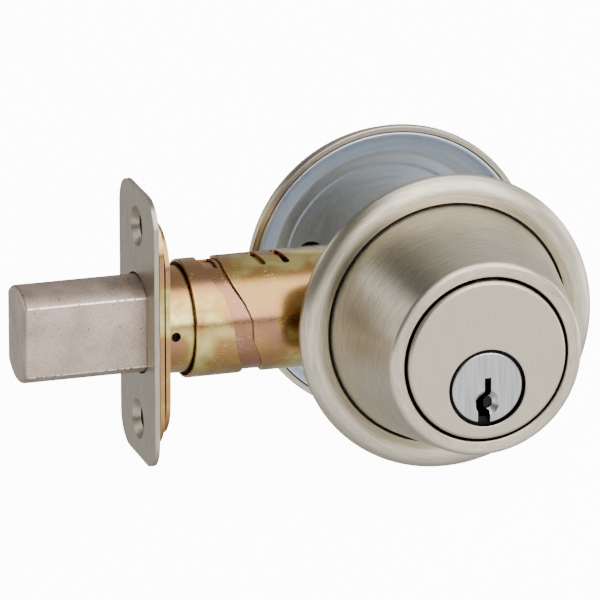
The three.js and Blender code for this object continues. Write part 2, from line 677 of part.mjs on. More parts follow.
// The finger grip: an oval blade, level while the bolt is thrown.
function thumbBlade(y0) {
  const halfLength = 18;
  const endR = 3.4;
  const outline = new THREE.Shape();
  outline.moveTo(-halfLength + endR, SPINDLE_Z - endR);
  outline.quadraticCurveTo(0, SPINDLE_Z - 5.4, halfLength - endR, SPINDLE_Z - endR);
  outline.absarc(halfLength - endR, SPINDLE_Z, endR, -TURN, TURN);
  outline.quadraticCurveTo(0, SPINDLE_Z + 5.4, -halfLength + endR, SPINDLE_Z + endR);
  outline.absarc(-halfLength + endR, SPINDLE_Z, endR, TURN, 3 * TURN);
  const bevel = 1;
  const geometry = new THREE.ExtrudeGeometry(outline, {
    depth: 11, curveSegments: 6, bevelEnabled: true, bevelSize: bevel, bevelThickness: bevel,
    bevelOffset: -bevel, bevelSegments: 1,
  });
  geometry.applyMatrix4(new THREE.Matrix4().makeBasis(
    new THREE.Vector3(1, 0, 0), new THREE.Vector3(0, 0, 1), new THREE.Vector3(0, -1, 0)));
  geometry.translate(0, y0 + 12, 0);
  return solid(geometry);
}

addOutsideRose();
addCollar();
addCylinderHousing();
addKeyPlug();
addFaceplate();
addSleeves();
addDeadBolt();
addBoltTail();
addCrank();
addCrankCase();
addTailpiece();
addSupportPlate();
addInsideRose();
addMountingScrews();
addThumbturn();

export default lock;
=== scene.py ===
import math

import bmesh
import bpy
from mathutils import Matrix, Vector


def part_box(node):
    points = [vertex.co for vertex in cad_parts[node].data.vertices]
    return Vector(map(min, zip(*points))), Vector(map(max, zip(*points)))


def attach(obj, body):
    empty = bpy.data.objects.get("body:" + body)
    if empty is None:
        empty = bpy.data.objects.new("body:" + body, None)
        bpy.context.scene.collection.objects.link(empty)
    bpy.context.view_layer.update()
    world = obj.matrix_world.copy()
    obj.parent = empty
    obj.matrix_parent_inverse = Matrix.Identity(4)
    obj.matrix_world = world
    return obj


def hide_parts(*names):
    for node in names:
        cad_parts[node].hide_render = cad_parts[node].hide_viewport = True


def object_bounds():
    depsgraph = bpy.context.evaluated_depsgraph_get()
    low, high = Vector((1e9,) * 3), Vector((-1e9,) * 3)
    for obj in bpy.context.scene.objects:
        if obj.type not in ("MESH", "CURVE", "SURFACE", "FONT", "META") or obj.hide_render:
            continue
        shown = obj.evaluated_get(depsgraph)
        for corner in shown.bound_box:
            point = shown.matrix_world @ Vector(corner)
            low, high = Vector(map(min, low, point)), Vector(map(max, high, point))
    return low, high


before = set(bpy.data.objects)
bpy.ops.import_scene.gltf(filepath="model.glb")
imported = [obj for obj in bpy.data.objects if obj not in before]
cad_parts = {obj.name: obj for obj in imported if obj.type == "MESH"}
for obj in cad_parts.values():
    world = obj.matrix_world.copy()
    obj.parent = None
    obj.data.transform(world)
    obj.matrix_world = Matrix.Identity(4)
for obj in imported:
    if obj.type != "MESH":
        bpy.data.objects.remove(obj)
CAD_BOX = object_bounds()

bl_info = {
    "name": "Deadbolt Door Lock",
    "version": (1, 0, 0),
    "blender": (4, 5, 0),
    "location": "3D View > Sidebar > Deadbolt",
    "description": "Builds the looks of a single-cylinder deadbolt round its packed frame",
    "category": "Object",
}

# Shapes are worked out in millimetres and scaled to metres when a piece is finished.
MM = 0.001
FULL_TURN = 2 * math.pi
ROUND = 180            # steps in a large turned piece
SMALL_ROUND = 64       # steps in a screw, pin or hole
FLAT_ANGLE = math.radians(32)


def linear(code):
    """An sRGB hex colour as the linear values that Blender's shaders take."""
    channels = [int(code[i:i + 2], 16) / 255 for i in (1, 3, 5)]
    return tuple(c / 12.92 if c <= 0.04045 else ((c + 0.055) / 1.055) ** 2.4 for c in channels)


def span(node):
    """Lowest and highest corners of a CAD node, in millimetres."""
    low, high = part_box(node)
    return low / MM, high / MM


# ------------------------------------------------------------------ places taken from the frame

ROSE_LOW, ROSE_HIGH = span("outside_rose")
COLLAR_LOW, COLLAR_HIGH = span("cylinder_collar")
HOUSING_LOW, HOUSING_HIGH = span("cylinder_housing")
PLUG_LOW, PLUG_HIGH = span("key_plug")
PLATE_LOW, PLATE_HIGH = span("faceplate")
BACKING_LOW, BACKING_HIGH = span("backing_plate")
TUBE_LOW, TUBE_HIGH = span("front_tube")
FRONT_LOW = span("front_sleeve")[0]
INNER_LOW, INNER_HIGH = span("inner_sleeve")
REAR_HIGH = span("rear_sleeve")[1]
BOLT_LOW, BOLT_HIGH = span("dead_bolt")
RIVET_LOW, RIVET_HIGH = span("tail_rivet")
SUPPORT_HIGH = span("support_plate")[1]
INSIDE_LOW, INSIDE_HIGH = span("inside_rose")
TURN_LOW, TURN_HIGH = span("thumbturn")
SCREW_LOW, SCREW_HIGH = span("mounting_screw_right")
SPINDLE_LOW, SPINDLE_HIGH = span("tailpiece")
CHAMBER_Y = [sum(v.y for v in span(f"key_pin_{i}")) / 2 for i in range(1, 6)]

SPINDLE_Z = (SPINDLE_LOW.z + SPINDLE_HIGH.z) / 2
SCREW_X = (SCREW_LOW.x + SCREW_HIGH.x) / 2
SCREW_R = 2.0
SCREW_HEAD_R = (SCREW_HIGH.x - SCREW_LOW.x) / 2
DOOR_OUTSIDE = ROSE_HIGH.y
DOOR_INSIDE = INSIDE_LOW.y


# ------------------------------------------------------------------ settings

def length(name, description, millimetres):
    """A length property, given in millimetres and kept in metres."""
    return bpy.props.FloatProperty(
        name=name, description=description, default=millimetres * MM, min=0.0, unit="LENGTH", precision=5)


def colour(name, description, code):
    """A colour property from an sRGB hex value."""
    return bpy.props.FloatVectorProperty(
        name=name, description=description, default=linear(code), size=3, min=0.0, max=1.0, subtype="COLOR")


class LockSizes(bpy.types.PropertyGroup):
    """Sizes that a user would change without touching the frame."""

    lip_roll: length("Lip roll", "Radius of the trim ring's rolled lip", 1.3)
    shoulder: length("Collar shoulder", "Radius of the collar's front shoulder", 1.25)
    face_edge: length("Face edge", "Radius round the cylinder's face", 0.9)
    keyway_width: length("Keyway width", "Width of the keyway's upper slot", 1.35)
    countersink: length("Countersink", "Radius of the faceplate's countersinks", 4.2)
    plate_corner: length("Plate corner", "Corner radius of the faceplate", 6.35)
    sleeve_roll: length("Sleeve roll", "Radius of the front sleeve's opening edge", 0.25)
    bolt_edge: length("Bolt edge", "Rounding of the bolt's end", 0.65)
    thread_pitch: length("Thread pitch", "Pitch of the mounting screws", 0.9)
    brush_spacing: length("Brush spacing", "Distance between brush lines, drawn a little coarse", 0.27)


class LockColours(bpy.types.PropertyGroup):
    """Colours of the finishes."""

    nickel: colour("Satin nickel", "Warm grey of the trim", "#C9C1AD")
    plug: colour("Nickel silver", "Cool white metal of the key plug", "#BABABD")
    bolt: colour("Bolt steel", "Pinkish grey of the dull bolt", "#C6B3A4")
    straw: colour("Chromate straw", "Pale yellow of the thin chromate", "#DCD488")
    amber: colour("Chromate amber", "Tan of the thick chromate", "#B08A4E")
    blush: colour("Chromate blush", "Pinkish copper of the iridescent film", "#A4775C")
    zinc: colour("Clear zinc", "Bluish grey of the support plate", "#CBD8E6")
    brass: colour("Brass", "Turned brass inside the cylinder", "#C8A95E")
    hard_steel: colour("Hard steel", "Hardened pins and roller", "#77777A")
    floor: colour("Floor", "Pale studio floor", "#F4F4F4")


def size(context, name):
    """A size setting in millimetres."""
    return getattr(context.scene.lock_sizes, name) / MM


# ------------------------------------------------------------------ mesh tools

def fillet(corners, steps=6):
    """Points along a closed outline of (u, v, radius) corners, with an arc at each that has a radius."""
    points = []
    for i, (u, v, radius) in enumerate(corners):
        here = Vector((u, v))
        if radius <= 0:
            points.append(here)
            continue
        to_last = Vector(corners[i - 1][:2]) - here
        to_next = Vector(corners[(i + 1) % len(corners)][:2]) - here
        half = to_last.angle(to_next) / 2
        reach = min(radius / math.tan(half), 0.49 * to_last.length, 0.49 * to_next.length)
        bisector = (to_last.normalized() + to_next.normalized()).normalized()
        centre = here + bisector * (reach / math.cos(half))
        first = here + to_last.normalized() * reach - centre
        last = here + to_next.normalized() * reach - centre
        sweep = math.atan2(first.x * last.y - first.y * last.x, first.dot(last))
        for k in range(steps + 1):
            points.append(centre + Matrix.Rotation(sweep * k / steps, 2) @ first)
    return points


def rounded_rectangle(width, height, radius, steps=10):
    u, v = width / 2, height / 2
    return fillet([(-u, -v, radius), (u, -v, radius), (u, v, radius), (-u, v, radius)], steps)


def bolt_outline(grow=0.0, steps=28):
    """The bolt's section in (y, z): a round bar with a flat down each side."""
    radius = BOLT_HIGH.z + grow
    edge = math.acos((BOLT_HIGH.y + grow) / radius)
    points = []
    for start in (edge, math.pi + edge):
        sweep = math.pi - 2 * edge
        points += [Vector((radius * math.cos(start + sweep * k / steps),
                           radius * math.sin(start + sweep * k / steps))) for k in range(steps + 1)]
    return points


def loose(name, bm):
    """An object from a bmesh, not yet a finished piece."""
    mesh = bpy.data.meshes.new(name)
    bm.to_mesh(mesh)
    bm.free()
    made = bpy.data.objects.new(name, mesh)
    bpy.context.scene.collection.objects.link(made)
    return made


def close_up(bm, distance=1e-4):
    """Merges doubled vertices, then turns the faces outwards."""
    bmesh.ops.remove_doubles(bm, verts=bm.verts, dist=distance)
    bmesh.ops.recalc_face_normals(bm, faces=bm.faces)


def chain(bm, places, closed):
    verts = [bm.verts.new(place) for place in places]
    pairs = list(zip(verts, verts[1:])) + ([(verts[-1], verts[0])] if closed else [])
    return verts, [bm.edges.new(pair) for pair in pairs]


def spun(name, profile, axis="Y", centre=(0.0, 0.0), steps=ROUND):
    """Turns a profile of (radius, along) points round an axis through centre, in the other two directions."""
    bm = bmesh.new()
    along = Vector((1, 0, 0)) if axis == "X" else Vector((0, 1, 0))
    middle = Vector((0, centre[0], centre[1])) if axis == "X" else Vector((centre[0], 0, centre[1]))
    out = Vector((0, 0, 1))
    closed = profile[0][0] > 1e-6 or profile[-1][0] > 1e-6
    verts, edges = chain(bm, [middle + out * p[0] + along * p[1] for p in profile], closed)
    bmesh.ops.spin(bm, geom=verts + edges, cent=middle, axis=along, angle=FULL_TURN, steps=steps,
                   use_merge=True, use_duplicate=False)
    close_up(bm)
    return loose(name, bm)


def prism(name, outline, axis, low, high):
    """Extrudes an outline along an axis. It is drawn in the other two directions, in X, Y, Z order."""
    bm = bmesh.new()
    slot_of = {"X": 0, "Y": 1, "Z": 2}[axis]
    places = []
    for u, v in outline:
        place = [u, v]
        place.insert(slot_of, low)
        places.append(place)
    verts, edges = chain(bm, places, True)
    face = bmesh.ops.contextual_create(bm, geom=edges)["faces"]
    moved = bmesh.ops.extrude_face_region(bm, geom=face)["geom"]
    shift = Vector((0, 0, 0))
    shift[slot_of] = high - low
    bmesh.ops.translate(bm, vec=shift, verts=[g for g in moved if isinstance(g, bmesh.types.BMVert)])
    close_up(bm)
    return loose(name, bm)


def bar(axis, radius, low, high, centre=(0.0, 0.0), steps=SMALL_ROUND, flare=None):
    """A round cutter along X, Y or Z. flare is (radius, depth) of a cone at its low end."""
    profile = [(0, low), (radius, low), (radius, high), (0, high)]
    if flare:
        profile = [(0, low), (flare[0], low), (radius, low + flare[1]), (radius, high), (0, high)]
    if axis != "Z":
        return spun("cutter", profile, axis, centre, steps)
    made = spun("cutter", profile, "Y", (0, 0), steps)
    made.data.transform(Matrix.Translation((centre[0], centre[1], 0)) @ Matrix.Rotation(math.pi / 2, 4, "X"))
    return made


def block(low, high):
    """A box-shaped cutter between two corners."""
    bm = bmesh.new()
    low, high = Vector(low), Vector(high)
    bmesh.ops.create_cube(bm, size=1.0, matrix=Matrix.Translation((low + high) / 2)
                          @ Matrix.Diagonal((*(high - low), 1.0)))
    return loose("cutter", bm)


def settle(piece):
    """Applies a piece's modifiers to its mesh."""
    graph = bpy.context.evaluated_depsgraph_get()
    old = piece.data
    new = bpy.data.meshes.new_from_object(piece.evaluated_get(graph))
    piece.modifiers.clear()
    piece.data = new
    bpy.data.meshes.remove(old)


def carve(piece, *tools, operation="DIFFERENCE"):
    """Cuts a piece by each tool, or joins or intersects it, and removes the tools."""
    for tool in tools:
        cut = piece.modifiers.new("carve", "BOOLEAN")
        cut.object = tool
        cut.operation = operation
        cut.solver = "EXACT"
    bpy.context.view_layer.update()
    settle(piece)
    for tool in tools:
        mesh = tool.data
        bpy.data.objects.remove(tool)
        bpy.data.meshes.remove(mesh)
    return piece


def soften(piece, width, segments=3):
    """Breaks a piece's sharp edges."""
    bevel = piece.modifiers.new("broken_edges", "BEVEL")
    bevel.width = width * MM
    bevel.segments = segments
    bevel.limit_method = "ANGLE"
    bevel.angle_limit = FLAT_ANGLE
    bevel.harden_normals = True
    bevel.use_clamp_overlap = True


def finished(piece, name, body, nodes, material, edge=0.0):
    """Scales a piece to metres, smooths it, gives it its finish and puts it on its body."""
    piece.name = name
    piece.data.name = name
    piece.data.transform(Matrix.Scale(MM, 4))
    piece.data.shade_smooth()
    piece.data.set_sharp_from_angle(angle=FLAT_ANGLE)
    piece.data.materials.clear()
    piece.data.materials.append(bpy.data.materials[material])
    if edge:
        soften(piece, edge)
    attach(piece, body)
    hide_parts(*nodes)
    return piece


def shade_faces_inside(piece, material, inside):
    """Gives a second material to the faces whose middles, in millimetres, pass a test; here it is always the
    dark one that paints shade into gaps and holes.
    """
    piece.data.materials.append(bpy.data.materials[material])
    for face in piece.data.polygons:
        if inside(face.center / MM):
            face.material_index = 1


def refined(node, body, material, edge):
    """A copy of a CAD node with its flat faces joined and its edges broken, which stands for it."""
    bm = bmesh.new()
    bm.from_mesh(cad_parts[node].data)
    bmesh.ops.scale(bm, vec=Vector((1, 1, 1)) / MM, verts=bm.verts)
    bmesh.ops.remove_doubles(bm, verts=bm.verts, dist=1e-3)
    bmesh.ops.dissolve_limit(bm, angle_limit=math.radians(1), verts=bm.verts, edges=bm.edges)
    return finished(loose(node + "_fine", bm), node + "_fine", body, [node], material, edge)


# ------------------------------------------------------------------ material tools

def add(tree, kind, inputs=None, **settings):
    """Adds one shader node. inputs holds its values and links; settings are its properties."""
    made = tree.nodes.new(kind)
    for key, value in settings.items():
        setattr(made, key, value)
    for key, value in (inputs or {}).items():
        if isinstance(value, bpy.types.NodeSocket):
            tree.links.new(value, made.inputs[key])
        else:
            made.inputs[key].default_value = value
    return made


def new_material(name):
    """An empty material and its node tree."""
    material = bpy.data.materials.new(name)
    material.use_nodes = True
    material.node_tree.nodes.clear()
    return material.node_tree


def finish_surface(tree, inputs):
    """The Principled shader and the output."""
    shader = add(tree, "ShaderNodeBsdfPrincipled", inputs)
    add(tree, "ShaderNodeOutputMaterial", {"Surface": shader.outputs["BSDF"]})


def tinted(tree, factor, dark, light):
    """A colour between two, by a factor."""
    # The colour sockets of a Mix node share the names of its value sockets, so they are set by place.
    return add(tree, "ShaderNodeMix", {0: factor, 6: (*dark, 1), 7: (*light, 1)}, data_type="RGBA").outputs[2]


def shade(base, factor):
    return tuple(min(1.0, c * factor) for c in base)


def ranged(tree, value, low, high, to_low, to_high):
    return add(tree, "ShaderNodeMapRange", {
        "Value": value, "From Min": low, "From Max": high, "To Min": to_low, "To Max": to_high,
    }).outputs["Result"]


def step(tree, value, start, end):
    """A soft step from nought to one, or from one to nought when the end comes first."""
    low, high = min(start, end), max(start, end)
    to_low, to_high = (0.0, 1.0) if start < end else (1.0, 0.0)
    return add(tree, "ShaderNodeMapRange", {
        "Value": value, "From Min": low, "From Max": high, "To Min": to_low, "To Max": to_high,
    }, interpolation_type="SMOOTHSTEP").outputs[0]


def product(tree, first, *others):
    """The product of several values."""
    for other in others:
        first = add(tree, "ShaderNodeMath", {0: first, 1: other}, operation="MULTIPLY").outputs[0]
    return first


def total(tree, first, *others):
    """The sum of several values."""
    for other in others:
        first = add(tree, "ShaderNodeMath", {0: first, 1: other}, operation="ADD").outputs[0]
    return first


def round_brush(tree, centre, spacing, streaks):
    """Lines that run round an axis along Y through centre, and the direction they run in."""
    place = add(tree, "ShaderNodeTexCoord").outputs["Object"]
    moved = add(tree, "ShaderNodeVectorMath", {
        0: place, 1: (-centre[0] * MM, 0, -centre[1] * MM)}, operation="ADD")
    flat = add(tree, "ShaderNodeVectorMath", {0: moved.outputs[0], 1: (1, 0, 1)}, operation="MULTIPLY")
    radius = add(tree, "ShaderNodeVectorMath", {0: flat.outputs[0]}, operation="LENGTH").outputs["Value"]
    out = add(tree, "ShaderNodeVectorMath", {0: flat.outputs[0]}, operation="NORMALIZE").outputs[0]
    parts = add(tree, "ShaderNodeSeparateXYZ", {0: out}).outputs
    depth = add(tree, "ShaderNodeSeparateXYZ", {0: place}).outputs["Y"]
    scale = 1 / (spacing * MM)
    vector = add(tree, "ShaderNodeCombineXYZ", {
        "X": add(tree, "ShaderNodeMath", {0: parts["X"], 1: streaks}, operation="MULTIPLY").outputs[0],
        "Y": add(tree, "ShaderNodeMath", {0: parts["Z"], 1: streaks}, operation="MULTIPLY").outputs[0],
        "Z": add(tree, "ShaderNodeMath", {0: radius, 1: scale}, operation="MULTIPLY").outputs[0],
    }).outputs[0]
    along = add(tree, "ShaderNodeMath", {0: depth, 1: scale}, operation="MULTIPLY").outputs[0]
    lines = add(tree, "ShaderNodeTexNoise", {
        "Vector": vector, "W": along, "Scale": 1.0, "Detail": 3.0, "Roughness": 0.65,
    }, noise_dimensions="4D").outputs["Fac"]
    round_way = add(tree, "ShaderNodeVectorMath", {
        0: (0, 1, 0), 1: out}, operation="CROSS_PRODUCT").outputs[0]
    tangent = add(tree, "ShaderNodeVectorTransform", {"Vector": round_way}, vector_type="VECTOR",
                  convert_from="OBJECT", convert_to="WORLD").outputs[0]
    return lines, tangent


def straight_brush(tree, direction, spacing, streak):
    """Lines along one direction, and that direction."""
    place = add(tree, "ShaderNodeTexCoord").outputs["Object"]
    fine, coarse = 1 / (spacing * MM), 1 / (streak * MM)
    scale = tuple(coarse if d else fine for d in direction)
    mapped = add(tree, "ShaderNodeMapping", {"Vector": place, "Scale": scale}).outputs[0]
    lines = add(tree, "ShaderNodeTexNoise", {
        "Vector": mapped, "Scale": 1.0, "Detail": 3.0, "Roughness": 0.65}).outputs["Fac"]
    tangent = add(tree, "ShaderNodeVectorTransform", {"Vector": direction}, vector_type="VECTOR",
                  convert_from="OBJECT", convert_to="WORLD").outputs[0]
    return lines, tangent


def cloud(tree, feature, detail=3.0, offset=0.0):
    """A soft noise whose features are about so many millimetres across."""
    place = add(tree, "ShaderNodeTexCoord").outputs["Object"]
    mapped = add(tree, "ShaderNodeMapping", {
        "Vector": place, "Location": (offset, offset, offset)}).outputs[0]
    return add(tree, "ShaderNodeTexNoise", {
        "Vector": mapped, "Scale": 1 / (feature * MM), "Detail": detail, "Roughness": 0.55}).outputs["Fac"]


def bumped(tree, height, depth, strength=1.0):
    """A normal from a height that reaches so many millimetres."""
    return add(tree, "ShaderNodeBump", {
        "Height": height, "Distance": depth * MM, "Strength": strength}).outputs["Normal"]


# ------------------------------------------------------------------ finishes

def brushed_metal(name, base, brush, roughness, anisotropy, depth, contrast=0.05):
    """A plated metal with brush lines: they vary its colour and gloss a little and cut its surface."""
    tree = new_material(name)
    lines, tangent = brush(tree)
    broad = cloud(tree, 14.0)
    line_tone = ranged(tree, lines, 0.36, 0.64, 0.0, 1.0)
    tone = add(tree, "ShaderNodeMath", {0: line_tone, 1: 0.75}, operation="MULTIPLY").outputs[0]
    tone = add(tree, "ShaderNodeMath", {0: broad, 1: 0.25, 2: tone}, operation="MULTIPLY_ADD").outputs[0]
    finish_surface(tree, {
        "Base Color": tinted(tree, tone, shade(base, 1 - contrast), shade(base, 1 + contrast)),
        "Metallic": 1.0,
        "Roughness": ranged(tree, tone, 0.0, 1.0, roughness + 0.05, roughness - 0.05),
        "Anisotropic": anisotropy,
        # A quarter turn, so that the gloss spreads across the brush lines and not along them.
        "Anisotropic Rotation": 0.25,
        "Tangent": tangent,
        "Normal": bumped(tree, lines, depth),
    })


def make_turned_nickel(colours, spacing):
    """Satin nickel plate on turned brass, brushed in the lathe: fine rings and fan-shaped highlights."""
    brushed_metal("satin_nickel_turned", colours.nickel,
                  lambda tree: round_brush(tree, (0, 0), spacing, 6.0), 0.36, 0.66, 0.045, 0.24)


def make_face_nickel(colours, spacing):
    """Satin nickel lapped flat: an even, fine-grained face with no fan."""
    brushed_metal("satin_nickel_lapped", colours.nickel,
                  lambda tree: straight_brush(tree, (0, 0, 1), spacing, 6.0), 0.4, 0.3, 0.006, 0.045)


def make_plate_nickel(colours, spacing):
    """Satin nickel on a stamped plate, brushed up and down before it was pierced, in a darker copy of the
    nickel that paints the shade of the dim light the plate faces.
    """
    # The 0.74 is painted shade: the nickel is darkened to stand for the dim light that the plate faces.
    brushed_metal("satin_nickel_stamped_shaded", shade(colours.nickel, 0.74),
                  lambda tree: straight_brush(tree, (0, 0, 1), spacing, 5.0), 0.36, 0.5, 0.02, 0.2)


def make_plug_metal(colours, spacing):
    """Nickel silver, drawn-filed up and down: bright, cool, with plain upright lines."""
    brushed_metal("nickel_silver_filed", colours.plug,
                  lambda tree: straight_brush(tree, (0, 0, 1), spacing * 1.2, 9.0), 0.34, 0.5, 0.02, 0.24)


def make_bolt_steel(colours):
    """Tumbled, dull-plated steel bar: a soft pinkish sheen, pits, and corners knocked bright."""
    tree = new_material("bolt_steel_tumbled")
    place = add(tree, "ShaderNodeTexCoord").outputs["Object"]
    broad = cloud(tree, 5.0)
    grain = cloud(tree, 0.4, 3.0, 0.3)
    cells = add(tree, "ShaderNodeTexVoronoi", {
        "Vector": place, "Scale": 1 / (1.3 * MM), "Randomness": 1.0}, feature="F1").outputs
    dots = ranged(tree, cells["Distance"], 0.07, 0.2, 1.0, 0.0)
    pits = product(tree, dots, ranged(tree, cloud(tree, 2.0, 1.0, 0.7), 0.52, 0.6, 0.0, 1.0))
    # The long corners where the flats meet the round, and the rim of the end.
    axes = add(tree, "ShaderNodeSeparateXYZ", {0: place}).outputs
    side = add(tree, "ShaderNodeMath", {0: axes["Y"]}, operation="ABSOLUTE").outputs[0]
    height = add(tree, "ShaderNodeMath", {0: axes["Z"]}, operation="ABSOLUTE").outputs[0]
    corner_z = math.sqrt(BOLT_HIGH.z ** 2 - BOLT_HIGH.y ** 2)
    corner = product(tree, step(tree, side, (BOLT_HIGH.y - 0.22) * MM, (BOLT_HIGH.y - 0.04) * MM),
                     step(tree, height, (corner_z - 0.3) * MM, (corner_z - 0.12) * MM))
    chips = cloud(tree, 0.7, 3.0, 0.5)
    bright = product(tree, corner, ranged(tree, chips, 0.42, 0.5, 0.0, 1.0))
    dark = product(tree, corner, ranged(tree, chips, 0.4, 0.34, 0.0, 1.0))
    spots = add(tree, "ShaderNodeMath", {0: pits, 1: dark}, operation="MAXIMUM").outputs[0]
    tone = add(tree, "ShaderNodeMath", {0: broad, 1: grain}, operation="ADD").outputs[0]
    body = tinted(tree, ranged(tree, tone, 0.8, 1.2, 0.0, 1.0),
                  shade(colours.bolt, 0.78), shade(colours.bolt, 1.12))
    polished = add(tree, "ShaderNodeMix", {0: bright, 6: body, 7: (*linear("#F4F1EC"), 1)}, data_type="RGBA")
    pitted = add(tree, "ShaderNodeMix", {
        0: spots, 6: polished.outputs[2], 7: (*shade(colours.bolt, 0.3), 1)}, data_type="RGBA")
    relief = add(tree, "ShaderNodeMath", {0: spots, 1: -0.9, 2: grain}, operation="MULTIPLY_ADD").outputs[0]
    rough = add(tree, "ShaderNodeMath", {
        0: bright, 1: -0.2, 2: ranged(tree, broad, 0.3, 0.7, 0.4, 0.5)}, operation="MULTIPLY_ADD").outputs[0]
    finish_surface(tree, {
        "Base Color": pitted.outputs[2],
        "Metallic": 1.0,
        "Roughness": rough,
        "Normal": bumped(tree, relief, 0.05, 0.7),
    })


DRIFT_PER_METRE = (70.0, 90.0, 90.0)         # patches 14 mm along the tube, 11 mm across
SCUFFS_PER_METRE = (800.0, 2300.0, 2300.0)   # 1.25 mm by 0.43 mm, slanted across the tube


def make_chromate_zinc(name, low, middle, high, seed):
    """Zinc under yellow chromate: its tint drifts with the film's thickness, and powdery scuffs cross it."""
    tree = new_material(name)
    place = add(tree, "ShaderNodeTexCoord").outputs["Object"]
    stretched = add(tree, "ShaderNodeMapping", {
        "Vector": place, "Location": (seed, 0, 0), "Scale": DRIFT_PER_METRE}).outputs[0]
    drift = add(tree, "ShaderNodeTexNoise", {
        "Vector": stretched, "Scale": 1.0, "Detail": 3.0, "Distortion": 0.4}).outputs["Fac"]
    ramp = add(tree, "ShaderNodeValToRGB", {"Fac": drift})
    stops = ramp.color_ramp.elements
    stops[0].position, stops[0].color = 0.36, (*low, 1)
    stops[1].position, stops[1].color = 0.66, (*high, 1)
    stops.new(0.5).color = (*middle, 1)
    grain = cloud(tree, 0.5, 2.0, seed)
    scuff_place = add(tree, "ShaderNodeMapping", {
        "Vector": place, "Rotation": (0.0, 0.35, 0.0), "Scale": SCUFFS_PER_METRE}).outputs[0]
    scuffs = add(tree, "ShaderNodeTexNoise", {
        "Vector": scuff_place, "Scale": 1.0, "Detail": 5.0, "Roughness": 0.75}).outputs["Fac"]
    where = ranged(tree, cloud(tree, 6.0, 2.0, 0.15), 0.5, 0.62, 0.0, 1.0)
    powder = add(tree, "ShaderNodeMath", {
        0: ranged(tree, scuffs, 0.56, 0.7, 0.0, 0.7), 1: where}, operation="MULTIPLY").outputs[0]
    worn = add(tree, "ShaderNodeMix", {
        0: powder, 6: ramp.outputs["Color"], 7: (*linear("#EFE6CF"), 1)}, data_type="RGBA")
    rough = add(tree, "ShaderNodeMath", {
        0: powder, 1: 0.3, 2: ranged(tree, grain, 0.3, 0.7, 0.19, 0.27)}, operation="MULTIPLY_ADD").outputs[0]
    height = add(tree, "ShaderNodeMath", {0: scuffs, 1: grain}, operation="ADD").outputs[0]
    finish_surface(tree, {
        "Base Color": worn.outputs[2],
        "Metallic": 1.0,
        "Roughness": rough,
        "Normal": bumped(tree, height, 0.008, 0.5),
    })


def make_clear_zinc(colours):
    """Clear zinc on a pressed dish: cool, fairly glossy, with faint rings from the press."""
    brushed_metal("zinc_clear_pressed", colours.zinc,
                  lambda tree: round_brush(tree, (0, 0), 0.9, 2.0), 0.4, 0.2, 0.006, 0.08)


def make_plain_metal(name, base, roughness, feature):
    """A machined metal out of sight: a fine cloudy grain breaks up its gloss."""
    tree = new_material(name)
    grain = cloud(tree, feature)
    finish_surface(tree, {
        "Base Color": tinted(tree, grain, shade(base, 0.85), shade(base, 1.1)),
        "Metallic": 1.0,
        "Roughness": ranged(tree, grain, 0.3, 0.7, roughness - 0.06, roughness + 0.08),
        "Normal": bumped(tree, grain, 0.01, 0.4),
    })


class LOCK_OT_finishes(bpy.types.Operator):
    """Make the lock's metals"""

    bl_idname = "lock.finishes"
    bl_label = "Finishes"

    def execute(self, context):
        colours = context.scene.lock_colours
        spacing = size(context, "brush_spacing")
        make_turned_nickel(colours, spacing)
        make_face_nickel(colours, spacing)
        make_plate_nickel(colours, spacing)
        make_plug_metal(colours, spacing)
        make_bolt_steel(colours)
        make_chromate_zinc("zinc_yellow_chromate", colours.blush, colours.amber, colours.straw, 0.0)
        make_chromate_zinc("zinc_rose_chromate", shade(colours.blush, 0.9), colours.blush, colours.amber, 0.4)
        make_clear_zinc(colours)
        make_plain_metal("brass_turned", colours.brass, 0.32, 0.8)
        make_plain_metal("painted_gap_shade", linear("#2B2925"), 0.5, 0.8)   # painted shade down in the gaps, bores and holes
        make_plain_metal("steel_hardened", colours.hard_steel, 0.42, 0.8)
        make_plain_metal("steel_spring", shade(colours.plug, 0.8), 0.3, 0.5)
        return {"FINISHED"}


# ------------------------------------------------------------------ outside trim

class LOCK_OT_outside_rose(bpy.types.Operator):
    """Make the trim ring: a flat web on the door and a rolled lip round the collar"""

    bl_idname = "lock.outside_rose"
    bl_label = "Outside Rose"

    def execute(self, context):
        roll = size(context, "lip_roll")
        edge, front = ROSE_HIGH.x, ROSE_LOW.y
        web, hole = DOOR_OUTSIDE - 1.0, 14.0
        collar_edge = COLLAR_HIGH.x + 0.55
        ring = spun("rose", fillet([
            (hole, web, 0.15), (collar_edge, web, 0.05), (collar_edge, web - 0.9, 0.2),
            (edge - 3.6, front, 3.2), (edge - 1.3, front + 0.75, 3.0), (edge - 0.02, front + 2.2, roll),
            (edge, DOOR_OUTSIDE, 0.3), (hole, DOOR_OUTSIDE, 0.15)], 8))
        carve(ring, *[bar("Y", 2.4, web - 1, DOOR_OUTSIDE + 1, (side * SCREW_X, SPINDLE_Z))
                      for side in (-1, 1)])
        finished(ring, "outside_rose_ring", "lock_case", ["outside_rose"], "satin_nickel_turned")
        # Painted shade: the web hidden under the collar gets the dark material.
        shade_faces_inside(ring, "painted_gap_shade", lambda c: (
            math.hypot(c.x, c.z) < collar_edge + 0.05 and c.y < web + 0.05))
        return {"FINISHED"}


